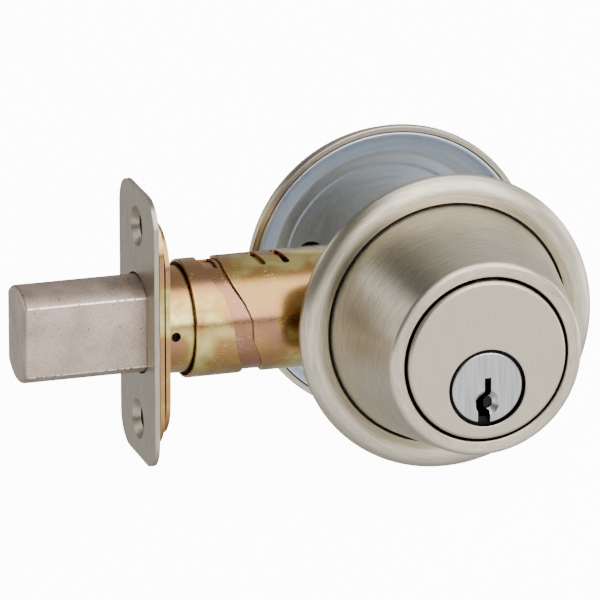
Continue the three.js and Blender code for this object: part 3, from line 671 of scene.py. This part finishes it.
class LOCK_OT_collar(bpy.types.Operator):
    """Make the tapered collar that spins round the cylinder, and its washer"""

    bl_idname = "lock.collar"
    bl_label = "Collar"

    def execute(self, context):
        base, back, front = COLLAR_HIGH.x, COLLAR_HIGH.y, COLLAR_LOW.y
        bore = HOUSING_FACE_R + 0.62
        recess = -24.0
        collar = spun("collar", fillet([
            (base, back, 0.12), (base, back - 0.75, 0.5), (22.35, -33.0, 30.0),
            (20.15, front, size(context, "shoulder")),
            (bore, front, 0.35), (bore, recess, 0), (22.2, recess, 0), (22.2, back, 0.12)], 10))
        finished(collar, "cylinder_collar_cone", "collar", ["cylinder_collar"], "satin_nickel_turned")
        # Painted shade: the collar's bore gets the dark material.
        shade_faces_inside(collar, "painted_gap_shade", lambda c: (
            c.y > front + 1.0 and math.hypot(c.x, c.z) < bore + 0.1))
        refined("collar_washer", "lock_case", "steel_spring", 0.1)
        return {"FINISHED"}


HOUSING_FACE_R = 16.65
PLUG_BODY_R = 6.35
PLUG_BORE_R = 6.47
PLUG_SEAT_R = 8.1
PLUG_SEAT_DEPTH = 1.75


class LOCK_OT_housing(bpy.types.Operator):
    """Make the cylinder's housing, with the plug's bore low in its face and the pin chambers above it"""

    bl_idname = "lock.housing"
    bl_label = "Cylinder Housing"

    def execute(self, context):
        face, back, flange = HOUSING_LOW.y, HOUSING_HIGH.y, HOUSING_HIGH.x
        flange_front = -22.6
        axis = (0, SPINDLE_Z)
        housing = spun("housing", fillet([
            (0, face, 0), (HOUSING_FACE_R, face, size(context, "face_edge")),
            (HOUSING_FACE_R, flange_front, 0.2),
            (flange, flange_front, 0.3), (flange, back, 0.3), (0, back, 0)]))
        seat = face + PLUG_SEAT_DEPTH
        cutters = [
            bar("Y", PLUG_BORE_R, face - 2, back + 2, axis),
            bar("Y", PLUG_SEAT_R, face - 0.15, seat, axis, flare=(PLUG_SEAT_R + 0.3, 0.3)),
            block((-2.4, CHAMBER_Y[0] - 2, 14.4), (2.4, CHAMBER_Y[-1] + 2, 20)),
        ]
        cutters += [bar("Z", 1.5, SPINDLE_Z + 4, 15.5, (0, y)) for y in CHAMBER_Y]
        cutters += [bar("Y", 2.2, -22.2, back + 1, (side * SCREW_X, SPINDLE_Z)) for side in (-1, 1)]
        cutters += [bar("Y", 1.2, -40.2, back + 1, (side * 5, 5.2), 32) for side in (-1, 1)]
        carve(housing, *cutters)
        finished(housing, "cylinder_housing_body", "lock_case", ["cylinder_housing"], "satin_nickel_lapped",
                 0.06)
        # Painted shade: the plug's seat and the faces deeper in the housing get the dark material.
        shade_faces_inside(housing, "painted_gap_shade", lambda c: c.y > face + 0.3 and (
            math.hypot(c.x, c.z - SPINDLE_Z) < PLUG_SEAT_R + 0.1 or c.y > face + 1.5))
        refined("chamber_cover", "lock_case", "brass_turned", 0.08)
        for side in ("left", "right"):
            refined(f"hardened_pin_{side}", "lock_case", "steel_hardened", 0.1)
        return {"FINISHED"}


def keyway_outline(width, bottom):
    """The keyway in (x, z), seen from outside: a crooked slot that opens at the plug's underside."""
    left = -0.55
    right = left + width
    corners = [
        (left, 2.1), (left, -1.0), (-2.3, -2.4), (-2.3, -4.2), (-1.95, -4.8), (-1.95, -bottom),
        (0.65, -bottom), (0.65, -4.9), (-0.4, -4.2), (-0.4, -2.7), (right, -1.5), (right, 2.1)]
    return [Vector((x, SPINDLE_Z + z)) for x, z in corners]


class LOCK_OT_key_plug(bpy.types.Operator):
    """Make the key plug with its keyway, its pin chambers and its cap"""

    bl_idname = "lock.key_plug"
    bl_label = "Key Plug"

    def execute(self, context):
        face, back, head = PLUG_LOW.y, PLUG_HIGH.y, PLUG_HIGH.x
        ledge = HOUSING_LOW.y + PLUG_SEAT_DEPTH - 0.15
        axis = (0, SPINDLE_Z)
        plug = spun("plug", fillet([
            (0, face, 0), (head, face, 0.45), (head, ledge, 0.1), (PLUG_BODY_R, ledge, 0.1),
            (PLUG_BODY_R, back, 0.2), (4.2, back, 0.1), (4.2, -22.2, 0.1), (0, -22.2, 0)]),
            centre=axis, steps=128)
        mouth = (-0.1, SPINDLE_Z - 3.2)
        cutters = [
            prism("keyway", keyway_outline(size(context, "keyway_width"), head + 1), "Y", face - 2, -23.5),
            bar("Y", 1.4, face - 0.05, face + 1.25, mouth, 48, flare=(2.75, 1.0)),
        ]
        cutters += [bar("Z", 1.5, SPINDLE_Z - 1.2, SPINDLE_Z + 8, (0, y), 32) for y in CHAMBER_Y]
        carve(plug, *cutters)
        finished(plug, "key_plug_core", "key_plug", ["key_plug"], "nickel_silver_filed",
                 0.05)
        # Painted shade: the keyway's depths get the dark material.
        shade_faces_inside(plug, "painted_gap_shade", lambda c: c.y > face + 1.1)
        refined("plug_cap", "key_plug", "brass_turned", 0.15)
        return {"FINISHED"}


class LOCK_OT_pin_stacks(bpy.types.Operator):
    """Round off the key pins and driver pins, and give the chamber springs their finish"""

    bl_idname = "lock.pin_stacks"
    bl_label = "Pin Stacks"

    def execute(self, context):
        for i in range(1, len(CHAMBER_Y) + 1):
            refined(f"key_pin_{i}", "key_plug", "brass_turned", 0.2)
            refined(f"driver_pin_{i}", "lock_case", "steel_spring", 0.2)
            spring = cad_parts[f"chamber_spring_{i}"]
            spring.data.materials.clear()
            spring.data.materials.append(bpy.data.materials["steel_spring"])
        return {"FINISHED"}


# ------------------------------------------------------------------ bolt unit

PLATE_SCREW_Z = 20.6
BOLT_CLEARANCE = 0.4


class LOCK_OT_faceplates(bpy.types.Operator):
    """Make the faceplate and the zinc backing plate behind it"""

    bl_idname = "lock.faceplates"
    bl_label = "Faceplates"

    def execute(self, context):
        sink = size(context, "countersink")
        hole = bolt_outline(BOLT_CLEARANCE)
        width, height = PLATE_HIGH.y - PLATE_LOW.y, PLATE_HIGH.z - PLATE_LOW.z
        plate = prism("plate", rounded_rectangle(width, height, size(context, "plate_corner"), 14), "X",
                      PLATE_LOW.x, PLATE_HIGH.x)
        dimple = [(0, PLATE_HIGH.x - 0.3), (sink - 0.3, PLATE_HIGH.x - 0.3), (sink - 1.1, PLATE_HIGH.x + 0.9),
                  (0, PLATE_HIGH.x + 0.9)]
        places = [(0, side * PLATE_SCREW_Z) for side in (-1, 1)]
        carve(plate, *[spun("dimple", dimple, "X", place, SMALL_ROUND) for place in places],
              operation="UNION")
        cutters = [prism("hole", hole, "X", PLATE_LOW.x - 1, PLATE_HIGH.x + 1)]
        cutters += [bar("X", 2.7, PLATE_LOW.x - 0.1, PLATE_HIGH.x + 2, place, flare=(sink + 0.1, 1.5))
                    for place in places]
        carve(plate, *cutters)
        finished(plate, "faceplate_outer", "lock_case", ["faceplate"], "satin_nickel_stamped_shaded",
                 0.12)
        # Painted shade: the countersink holes get the dark material.
        shade_faces_inside(plate, "painted_gap_shade", lambda c: math.hypot(c.y, abs(c.z) - PLATE_SCREW_Z) < 2.75)

        width, height = BACKING_HIGH.y - BACKING_LOW.y, BACKING_HIGH.z - BACKING_LOW.z
        backing = prism("backing", rounded_rectangle(width, height, 7.5, 14), "X",
                        BACKING_LOW.x, BACKING_HIGH.x)
        cutters = [prism("hole", hole, "X", BACKING_LOW.x - 1, BACKING_HIGH.x + 1)]
        for side in (-1, 1):
            cutters.append(bar("X", sink - 0.45, BACKING_LOW.x - 1, BACKING_HIGH.x + 1,
                               (0, side * PLATE_SCREW_Z)))
        carve(backing, *cutters)
        finished(backing, "backing_plate_zinc", "lock_case", ["backing_plate"], "zinc_yellow_chromate",
                 0.12)
        return {"FINISHED"}


TUBE_WALLS = {"front_tube": (10.4, 10.95), "inner_sleeve": (11.05, 11.55), "outer_sleeve": (11.65, 12.2)}


def drawn_tube(name, wall, low, high, roll=0.1):
    """A drawn tube along X, with the edge at its low end rolled."""
    inner, outer = TUBE_WALLS[wall]
    return spun(name, fillet([
        (inner, low, roll * 0.6), (outer, low, roll), (outer, high, 0.1), (inner, high, 0.1)], 5), "X")


class LOCK_OT_front_tube(bpy.types.Operator):
    """Make the flanged tube that guides the bolt"""

    bl_idname = "lock.front_tube"
    bl_label = "Front Tube"

    def execute(self, context):
        inner = TUBE_WALLS["front_tube"][0]
        flange_back = TUBE_LOW.x + BACKING_HIGH.x - BACKING_LOW.x
        width, height = TUBE_HIGH.y - TUBE_LOW.y, TUBE_HIGH.z - TUBE_LOW.z
        flange = prism("flange", rounded_rectangle(width, height, 8.6, 16), "X", TUBE_LOW.x, flange_back)
        cutters = [bar("X", inner + 0.02, TUBE_LOW.x - 1, flange_back + 1, steps=ROUND)]
        cutters += [bar("X", 2.6, TUBE_LOW.x - 1, flange_back + 1, (0, side * PLATE_SCREW_Z))
                    for side in (-1, 1)]
        carve(flange, *cutters)
        tube = drawn_tube("tube", "front_tube", TUBE_LOW.x + 0.1, TUBE_HIGH.x)
        carve(tube, bar("Y", 1.0, -14, 0, (PLATE_LOW.x + 5, -0.2), 32))
        carve(flange, tube, operation="UNION")
        finished(flange, "front_tube_drawn", "lock_case", ["front_tube"], "zinc_yellow_chromate",
                 0.1)
        return {"FINISHED"}


# The slanted gap between the two outer sleeves, as (x, z) from top to bottom.
FRONT_GAP_EDGE = [
    (-47.6, 13), (-46.7, 10.4), (-44.6, 6.9), (-43.2, 2),
    (-42.8, -2), (-42, -5.2), (-38.4, -13)]
REAR_GAP_EDGE = [
    (-43.8, 13), (-42.1, 8.7), (-40.3, 5.4), (-39, 2),
    (-38.8, -2.4), (-37, -6.4), (-34.6, -13)]


class LOCK_OT_sleeves(bpy.types.Operator):
    """Make the adjustable sleeves: a front and a rear one, and the inner one in the gap between them"""

    bl_idname = "lock.sleeves"
    bl_label = "Sleeves"

    def execute(self, context):
        reach = 14
        ahead = fillet([(-60, 13, 0), (-60, -13, 0)] + [(x, z, 3.0) for x, z in reversed(FRONT_GAP_EDGE)])
        behind = fillet([(x, z, 3.0) for x, z in REAR_GAP_EDGE] + [(0, -13, 0), (0, 13, 0)])

        front = drawn_tube("front", "outer_sleeve", FRONT_LOW.x, -30, size(context, "sleeve_roll"))
        carve(front, prism("ahead", ahead, "Y", -reach, reach), operation="INTERSECT")
        finished(front, "front_sleeve_drawn", "lock_case", ["front_sleeve"], "zinc_yellow_chromate",
                 0.08)

        inner = drawn_tube("inner", "inner_sleeve", INNER_LOW.x, INNER_HIGH.x)
        carve(inner, block((-46.6, -3.2, 8), (-43.9, 3.2, 14)))
        finished(inner, "inner_sleeve_drawn", "lock_case", ["inner_sleeve"], "zinc_rose_chromate",
                 0.08)

        rear = drawn_tube("rear", "outer_sleeve", -50, REAR_HIGH.x)
        carve(rear, prism("behind", behind, "Y", -reach, reach), operation="INTERSECT")
        slots = []
        for x in (-36, -31):
            outline = fillet([
                (x - 0.8, 1.5, 0.7), (x + 0.8, 1.5, 0.7), (x + 2.3, -4.6, 0.7), (x + 0.7, -4.6, 0.7)])
            slots.append(prism("slot", outline, "Z", 8.5, 14.5))
        carve(rear, *slots)
        finished(rear, "rear_sleeve_drawn", "lock_case", ["rear_sleeve"], "zinc_yellow_chromate",
                 0.08)
        return {"FINISHED"}


class LOCK_OT_dead_bolt(bpy.types.Operator):
    """Make the flat-sided bolt with its rounded end, its roller and its tail"""

    bl_idname = "lock.dead_bolt"
    bl_label = "Dead Bolt"

    def execute(self, context):
        edge = size(context, "bolt_edge")
        front, back = BOLT_LOW.x, BOLT_HIGH.x
        bm = bmesh.new()
        bolt = prism("bolt", bolt_outline(), "X", front, back)
        bm.from_mesh(bolt.data)
        corner_edges = [e for e in bm.edges if abs((e.verts[0].co - e.verts[1].co).x) > edge
                        and e.calc_face_angle(0) > FLAT_ANGLE]
        bmesh.ops.bevel(bm, geom=corner_edges, offset=0.14, segments=2, profile=0.5, affect="EDGES",
                        material=-1)
        nose = [e for e in bm.edges if all(abs(v.co.x - front) < 1e-3 for v in e.verts)]
        bmesh.ops.bevel(bm, geom=nose, offset=edge, segments=3, profile=0.5, affect="EDGES", material=-1)
        bmesh.ops.recalc_face_normals(bm, faces=bm.faces)
        bm.to_mesh(bolt.data)
        bm.free()
        rivet = ((RIVET_LOW.x + RIVET_HIGH.x) / 2, (RIVET_LOW.z + RIVET_HIGH.z) / 2)
        carve(bolt, bar("X", 3.7, front + 5, back + 1), block((-54.5, -1.5, 0), (back + 1, 1.5, 5.3)),
              bar("Y", 1.45, -10, 10, rivet, 32))
        finished(bolt, "dead_bolt_bar", "dead_bolt", ["dead_bolt"], "bolt_steel_tumbled")
        for face in bolt.data.polygons:
            face.use_smooth = face.use_smooth and face.normal.x > -0.99
        refined("hardened_roller", "dead_bolt", "steel_hardened", 0.2)
        refined("tail_rivet", "dead_bolt", "steel_spring", 0.15)
        refined("bolt_tail", "dead_bolt", "zinc_yellow_chromate", 0.2)
        return {"FINISHED"}


class LOCK_OT_crank_unit(bpy.types.Operator):
    """Break the edges of the crank, its case, its rivets and the tailpiece"""

    bl_idname = "lock.crank_unit"
    bl_label = "Crank Unit"

    def execute(self, context):
        refined("crank", "crank", "zinc_yellow_chromate", 0.25)
        for side in ("outside", "inside"):
            refined(f"crank_case_{side}", "lock_case", "zinc_yellow_chromate", 0.15)
        for i in (1, 2, 3):
            refined(f"case_rivet_{i}", "lock_case", "steel_spring", 0.25)
        refined("tailpiece", "tailpiece", "steel_spring", 0.2)
        return {"FINISHED"}


# ------------------------------------------------------------------ inside trim

SLOT_HALF = 3.1
SLOT_FOOT = -9.2
SLOT_TOP = 6.2


class LOCK_OT_support_plate(bpy.types.Operator):
    """Make the pressed zinc dish behind the inside rose"""

    bl_idname = "lock.support_plate"
    bl_label = "Support Plate"

    def execute(self, context):
        rim, thick = SUPPORT_HIGH.x, 1.0
        floor = SUPPORT_HIGH.y - thick
        plate = spun("dish", fillet([
            (9.2, floor, 0.1), (21.4, floor, 0.5), (22.0, floor - 0.75, 0.4), (24.6, floor - 0.85, 2.4),
            (28.0, DOOR_INSIDE + 1.4, 2.0), (29.0, DOOR_INSIDE, 0.4), (rim, DOOR_INSIDE, 0.25),
            (rim, DOOR_INSIDE + 0.6, 0.3),
            (27.6, DOOR_INSIDE + 3.6, 2.0), (25.4, floor + 0.1, 2.0), (22.2, floor + thick, 1.0),
            (9.2, floor + thick, 0.1)], 8))
        cutters = [bar("Y", 9.6, floor - 2, floor + 3, (0, SPINDLE_Z + 1), 96)]
        for side in (-1, 1):
            left, right = side * SCREW_X - SLOT_HALF, side * SCREW_X + SLOT_HALF
            turn = SLOT_HALF - 0.05
            slot = fillet([(left, SLOT_FOOT, turn), (right, SLOT_FOOT, turn), (right, SLOT_TOP, turn),
                           (left, SLOT_TOP, turn)], 12)
            cutters.append(prism("slot", slot, "Y", floor - 2, floor + 3))
        carve(plate, *cutters)
        finished(plate, "support_plate_dish", "lock_case", ["support_plate"], "zinc_clear_pressed",
                 0.08)
        return {"FINISHED"}


class LOCK_OT_inside_rose(bpy.types.Operator):
    """Make the inside rose, a shallow turned cover"""

    bl_idname = "lock.inside_rose"
    bl_label = "Inside Rose"

    def execute(self, context):
        edge, face, wall = INSIDE_HIGH.x, INSIDE_HIGH.y, 1.3
        rose = spun("rose", fillet([
            (0, face - wall, 0), (23.2, face - wall, 0.8), (26.6, 24.6, 3.0), (edge - wall, 19.4, 1.5),
            (edge - wall, DOOR_INSIDE, 0.1), (edge - 0.15, DOOR_INSIDE, 0.2), (edge, DOOR_INSIDE + 1.2, 0.8),
            (edge - 1.1, 21.9, 2.5), (27.9, 25.2, 4.0), (24.9, face - 0.1, 1.6), (22.4, face, 0.8),
            (0, face, 0)], 8))
        cutters = [bar("Y", 6.3, face - 3, face + 2, (0, SPINDLE_Z), 96)]
        cutters += [bar("Y", 2.3, face - 3, face + 2, (side * SCREW_X, SPINDLE_Z)) for side in (-1, 1)]
        carve(rose, *cutters)
        finished(rose, "inside_rose_cover", "lock_case", ["inside_rose"], "satin_nickel_turned",
                 0.12)
        # Painted shade: the hollow inside of the rose gets the dark material.
        shade_faces_inside(rose, "painted_gap_shade", lambda c: math.hypot(c.x, c.z) < 26 and c.y < face - wall + 0.05)
        return {"FINISHED"}


class LOCK_OT_mounting_screws(bpy.types.Operator):
    """Make the two long mounting screws, with cut threads and cross recesses"""

    bl_idname = "lock.mounting_screws"
    bl_label = "Mounting Screws"

    def execute(self, context):
        pitch = size(context, "thread_pitch")
        root = SCREW_R - 0.4
        seat, tip, thread_end = INSIDE_HIGH.y + 0.15, SCREW_LOW.y, 12.0
        for name, side in (("mounting_screw_left", -1), ("mounting_screw_right", 1)):
            profile = [(0, tip, 0), (root - 0.3, tip, 0.1), (root, tip + 0.4, 0)]
            turns = int((thread_end - tip - 0.8) / pitch)
            for k in range(turns):
                y = tip + 0.8 + k * pitch
                profile += [(root, y, 0), (SCREW_R, y + pitch * 0.4, 0), (SCREW_R, y + pitch * 0.6, 0)]
            profile += [(root, thread_end, 0), (SCREW_R, thread_end + 0.5, 0), (SCREW_R, seat, 0.1),
                        (SCREW_HEAD_R, seat, 0.15), (SCREW_HEAD_R, seat + 0.6, 0.3),
                        (SCREW_HEAD_R - 1.2, SCREW_HIGH.y - 0.35, 1.5), (0, SCREW_HIGH.y, 0)]
            x, z = side * SCREW_X, SPINDLE_Z
            screw = spun(name, fillet(profile, 4), centre=(x, z), steps=48)
            recess = SCREW_HIGH.y - 1.1
            carve(screw, block((x - 2.1, recess, z - 0.45), (x + 2.1, recess + 3, z + 0.45)),
                  block((x - 0.45, recess, z - 2.1), (x + 0.45, recess + 3, z + 2.1)))
            finished(screw, name + "_threaded", "lock_case", [name], "satin_nickel_lapped",
                     0.04)
        return {"FINISHED"}


def turn_ring(bm, y, half_length, half_width, power, waist):
    """One level of the thumbturn: a circle drawn out to a waisted blade, as edges."""
    made = bmesh.ops.create_circle(bm, cap_ends=False, radius=1.0, segments=96)
    for vert in made["verts"]:
        angle = math.atan2(vert.co.y, vert.co.x)
        c, s = math.cos(angle), math.sin(angle)
        x = math.copysign(abs(c) ** (2 / power), c)
        z = math.copysign(abs(s) ** (2 / power), s)
        vert.co = (half_length * x, y, SPINDLE_Z + half_width * z * (1 - waist * (1 - x * x)))
    return list({e for v in made["verts"] for e in v.link_edges})


class LOCK_OT_thumbturn(bpy.types.Operator):
    """Make the thumbturn as one cast piece: a hub drawn out into a waisted finger blade, and its clip"""

    bl_idname = "lock.thumbturn"
    bl_label = "Thumbturn"

    def execute(self, context):
        back, top, reach = TURN_LOW.y, TURN_HIGH.y, TURN_HIGH.x
        seat = INSIDE_HIGH.y + 0.25
        # Each level is y, half length, half width, the power of its outline, and its waist.
        levels = [
            (back, 5.6, 5.6, 2, 0), (back + 0.3, 6, 6, 2, 0), (27.95, 6, 6, 2, 0), (27.96, 5.3, 5.3, 2, 0),
            (29.04, 5.3, 5.3, 2, 0), (29.05, 6, 6, 2, 0), (seat, 6, 6, 2, 0), (seat + 0.01, 7.4, 7.4, 2, 0),
            (seat + 0.15, 7.65, 7.65, 2, 0), (seat + 0.9, 7.65, 7.65, 2, 0), (seat + 1.5, 7.4, 7.3, 2, 0),
            (seat + 2.1, 7.3, 6.3, 2, 0), (seat + 2.9, 8.2, 5.2, 2.1, 0.03), (seat + 3.7, 10.4, 4.3, 2.3, 0.1),
            (seat + 4.5, 13.4, 3.8, 2.6, 0.18), (seat + 5.4, 15.9, 3.6, 2.8, 0.24),
            (seat + 6.6, 17.3, 3.5, 3, 0.28), (seat + 8.2, reach - 0.2, 3.5, 3, 0.3),
            (seat + 10.2, reach, 3.45, 3, 0.3), (top - 3.2, reach, 3.4, 3, 0.3),
            (top - 1.7, reach - 0.25, 3.2, 3, 0.3), (top - 0.75, reach - 0.8, 2.75, 2.9, 0.28),
            (top - 0.2, reach - 1.6, 1.9, 2.8, 0.2), (top, reach - 2.8, 0.8, 2.6, 0.1),
        ]
        bm = bmesh.new()
        rings = [turn_ring(bm, *level) for level in levels]
        for low, high in zip(rings, rings[1:]):
            bmesh.ops.bridge_loops(bm, edges=low + high)
        for ring in (rings[0], rings[-1]):
            bmesh.ops.contextual_create(bm, geom=ring)
        close_up(bm, 1e-5)
        turn = loose("turn", bm)
        half = 2.65
        carve(turn, block((-half, back - 1, SPINDLE_Z - 1.15), (half, 30, SPINDLE_Z + 1.15)))
        finished(turn, "thumbturn_cast", "thumbturn", ["thumbturn"], "satin_nickel_lapped")
        refined("thumbturn_clip", "thumbturn", "steel_spring", 0.1)
        return {"FINISHED"}


# ------------------------------------------------------------------ stage

CAMERA_AZIMUTH = math.radians(-17.5)
CAMERA_ELEVATION = math.radians(18.2)
CAMERA_DISTANCE = 1.4
FRAME_WIDTH = 0.1228      # how much of the lock's plane the picture spans
SENSOR = 36.0
TABLE_LEVELS = (1.7, 0.6)    # front, back
CLOTH_LEVELS = (0.03, 0.7)   # left, right
PANEL_LEVEL = 4.0
# The small round panels: the way to each, the cosines where it starts and where it is full, its level.
SMALL_PANELS = (
    ((-0.87, 0.33, 0.3), 0.9, 0.985, 2.0),
    ((-0.7, 0.7, 0.1), 0.9, 0.98, 0.7),
    ((0.99, 0.03, 0.02), 0.85, 0.97, 2.6),
)
FLOOR_HALF = 6.0
FLOOR_DROP = 0.0004          # keeps the floor just under the lowest part
FLOOR_GLOW = 12.0            # blank paper, lit well past white
AIM_OFFSET = Vector((0.0021, 0.0, 0.0010))


def glow_round(tree, direction, centre, start, end, level):
    """A round soft panel: full at the cosine end from its centre, dark at the cosine start."""
    facing = add(tree, "ShaderNodeVectorMath", {
        0: direction, 1: Vector(centre).normalized()}, operation="DOT_PRODUCT")
    return product(tree, step(tree, facing.outputs["Value"], start, end), level)


def studio_light(tree):
    """A light tent: a pale table with a dark edge, dim cloth, a big front panel and three small ones."""
    direction = add(tree, "ShaderNodeTexCoord").outputs["Generated"]
    x, y, z = add(tree, "ShaderNodeSeparateXYZ", {0: direction}).outputs
    table = product(tree, step(tree, z, -0.03, -0.11), ranged(tree, y, -0.6, 0.6, *TABLE_LEVELS),
                    ranged(tree, z, -0.95, -0.4, 0.55, 1.0))
    cloth = product(tree, step(tree, z, 0.03, 0.09), ranged(tree, x, -0.6, 0.6, *CLOTH_LEVELS))
    panel = product(tree, step(tree, x, -0.35, -0.05), step(tree, x, 0.85, 0.55), step(tree, y, 0.0, -0.35),
                    step(tree, z, 0.05, 0.12), PANEL_LEVEL)
    level = total(tree, table, cloth, panel,
                  *[glow_round(tree, direction, *each) for each in SMALL_PANELS])
    light = add(tree, "ShaderNodeBackground", {"Color": (1, 1, 1, 1), "Strength": level})
    add(tree, "ShaderNodeOutputWorld", {"Surface": light.outputs[0]})


class LOCK_OT_stage(bpy.types.Operator):
    """Make the floor, the studio lights and the camera"""

    bl_idname = "lock.stage"
    bl_label = "Stage"

    def execute(self, context):
        low, high = CAD_BOX
        centre = (low + high) / 2
        bm = bmesh.new()
        bmesh.ops.create_grid(bm, x_segments=1, y_segments=1, size=FLOOR_HALF,
                              matrix=Matrix.Translation((0, 0, low.z - FLOOR_DROP)))
        floor = loose("studio_floor", bm)
        tree = new_material("studio_paper")
        finish_surface(tree, {
            "Base Color": (*context.scene.lock_colours.floor, 1), "Roughness": 0.8,
            "Emission Color": (1, 1, 1, 1), "Emission Strength": FLOOR_GLOW})
        floor.data.materials.append(bpy.data.materials["studio_paper"])
        floor.visible_glossy = False

        world = bpy.data.worlds.new("studio")
        context.scene.world = world
        world.use_nodes = True
        tree = world.node_tree
        tree.nodes.clear()
        studio_light(tree)

        back = Vector((math.sin(CAMERA_AZIMUTH) * math.cos(CAMERA_ELEVATION),
                       -math.cos(CAMERA_AZIMUTH) * math.cos(CAMERA_ELEVATION), math.sin(CAMERA_ELEVATION)))
        aim = centre + AIM_OFFSET
        data = bpy.data.cameras.new("camera")
        data.sensor_width = SENSOR
        data.lens = SENSOR * CAMERA_DISTANCE / FRAME_WIDTH
        data.clip_end = 20.0
        camera = bpy.data.objects.new("camera", data)
        camera.location = aim + back * CAMERA_DISTANCE
        camera.rotation_euler = (-back).to_track_quat("-Z", "Y").to_euler()
        context.scene.collection.objects.link(camera)
        context.scene.camera = camera
        return {"FINISHED"}


# ------------------------------------------------------------------ add-on

OPERATORS = (
    LOCK_OT_finishes, LOCK_OT_outside_rose, LOCK_OT_collar, LOCK_OT_housing, LOCK_OT_key_plug,
    LOCK_OT_pin_stacks, LOCK_OT_faceplates, LOCK_OT_front_tube, LOCK_OT_sleeves, LOCK_OT_dead_bolt,
    LOCK_OT_crank_unit, LOCK_OT_support_plate, LOCK_OT_inside_rose, LOCK_OT_mounting_screws,
    LOCK_OT_thumbturn, LOCK_OT_stage,
)


class LOCK_PT_panel(bpy.types.Panel):
    """The lock's steps and settings in the sidebar"""

    bl_label = "Deadbolt"
    bl_idname = "LOCK_PT_panel"
    bl_space_type = "VIEW_3D"
    bl_region_type = "UI"
    bl_category = "Deadbolt"

    def draw(self, context):
        layout = self.layout
        for operator in OPERATORS:
            layout.operator(operator.bl_idname)
        for group in (context.scene.lock_sizes, context.scene.lock_colours):
            for name in group.bl_rna.properties.keys():
                if name not in {"rna_type", "name"}:
                    layout.prop(group, name)


CLASSES = (LockSizes, LockColours, *OPERATORS, LOCK_PT_panel)


def register():
    for each in CLASSES:
        bpy.utils.register_class(each)
    bpy.types.Scene.lock_sizes = bpy.props.PointerProperty(type=LockSizes)
    bpy.types.Scene.lock_colours = bpy.props.PointerProperty(type=LockColours)


def unregister():
    del bpy.types.Scene.lock_colours
    del bpy.types.Scene.lock_sizes
    for each in reversed(CLASSES):
        bpy.utils.unregister_class(each)


def main():
    register()
    for operator in OPERATORS:
        group, name = operator.bl_idname.split(".")
        getattr(getattr(bpy.ops, group), name)()


if __name__ == "__main__":
    main()
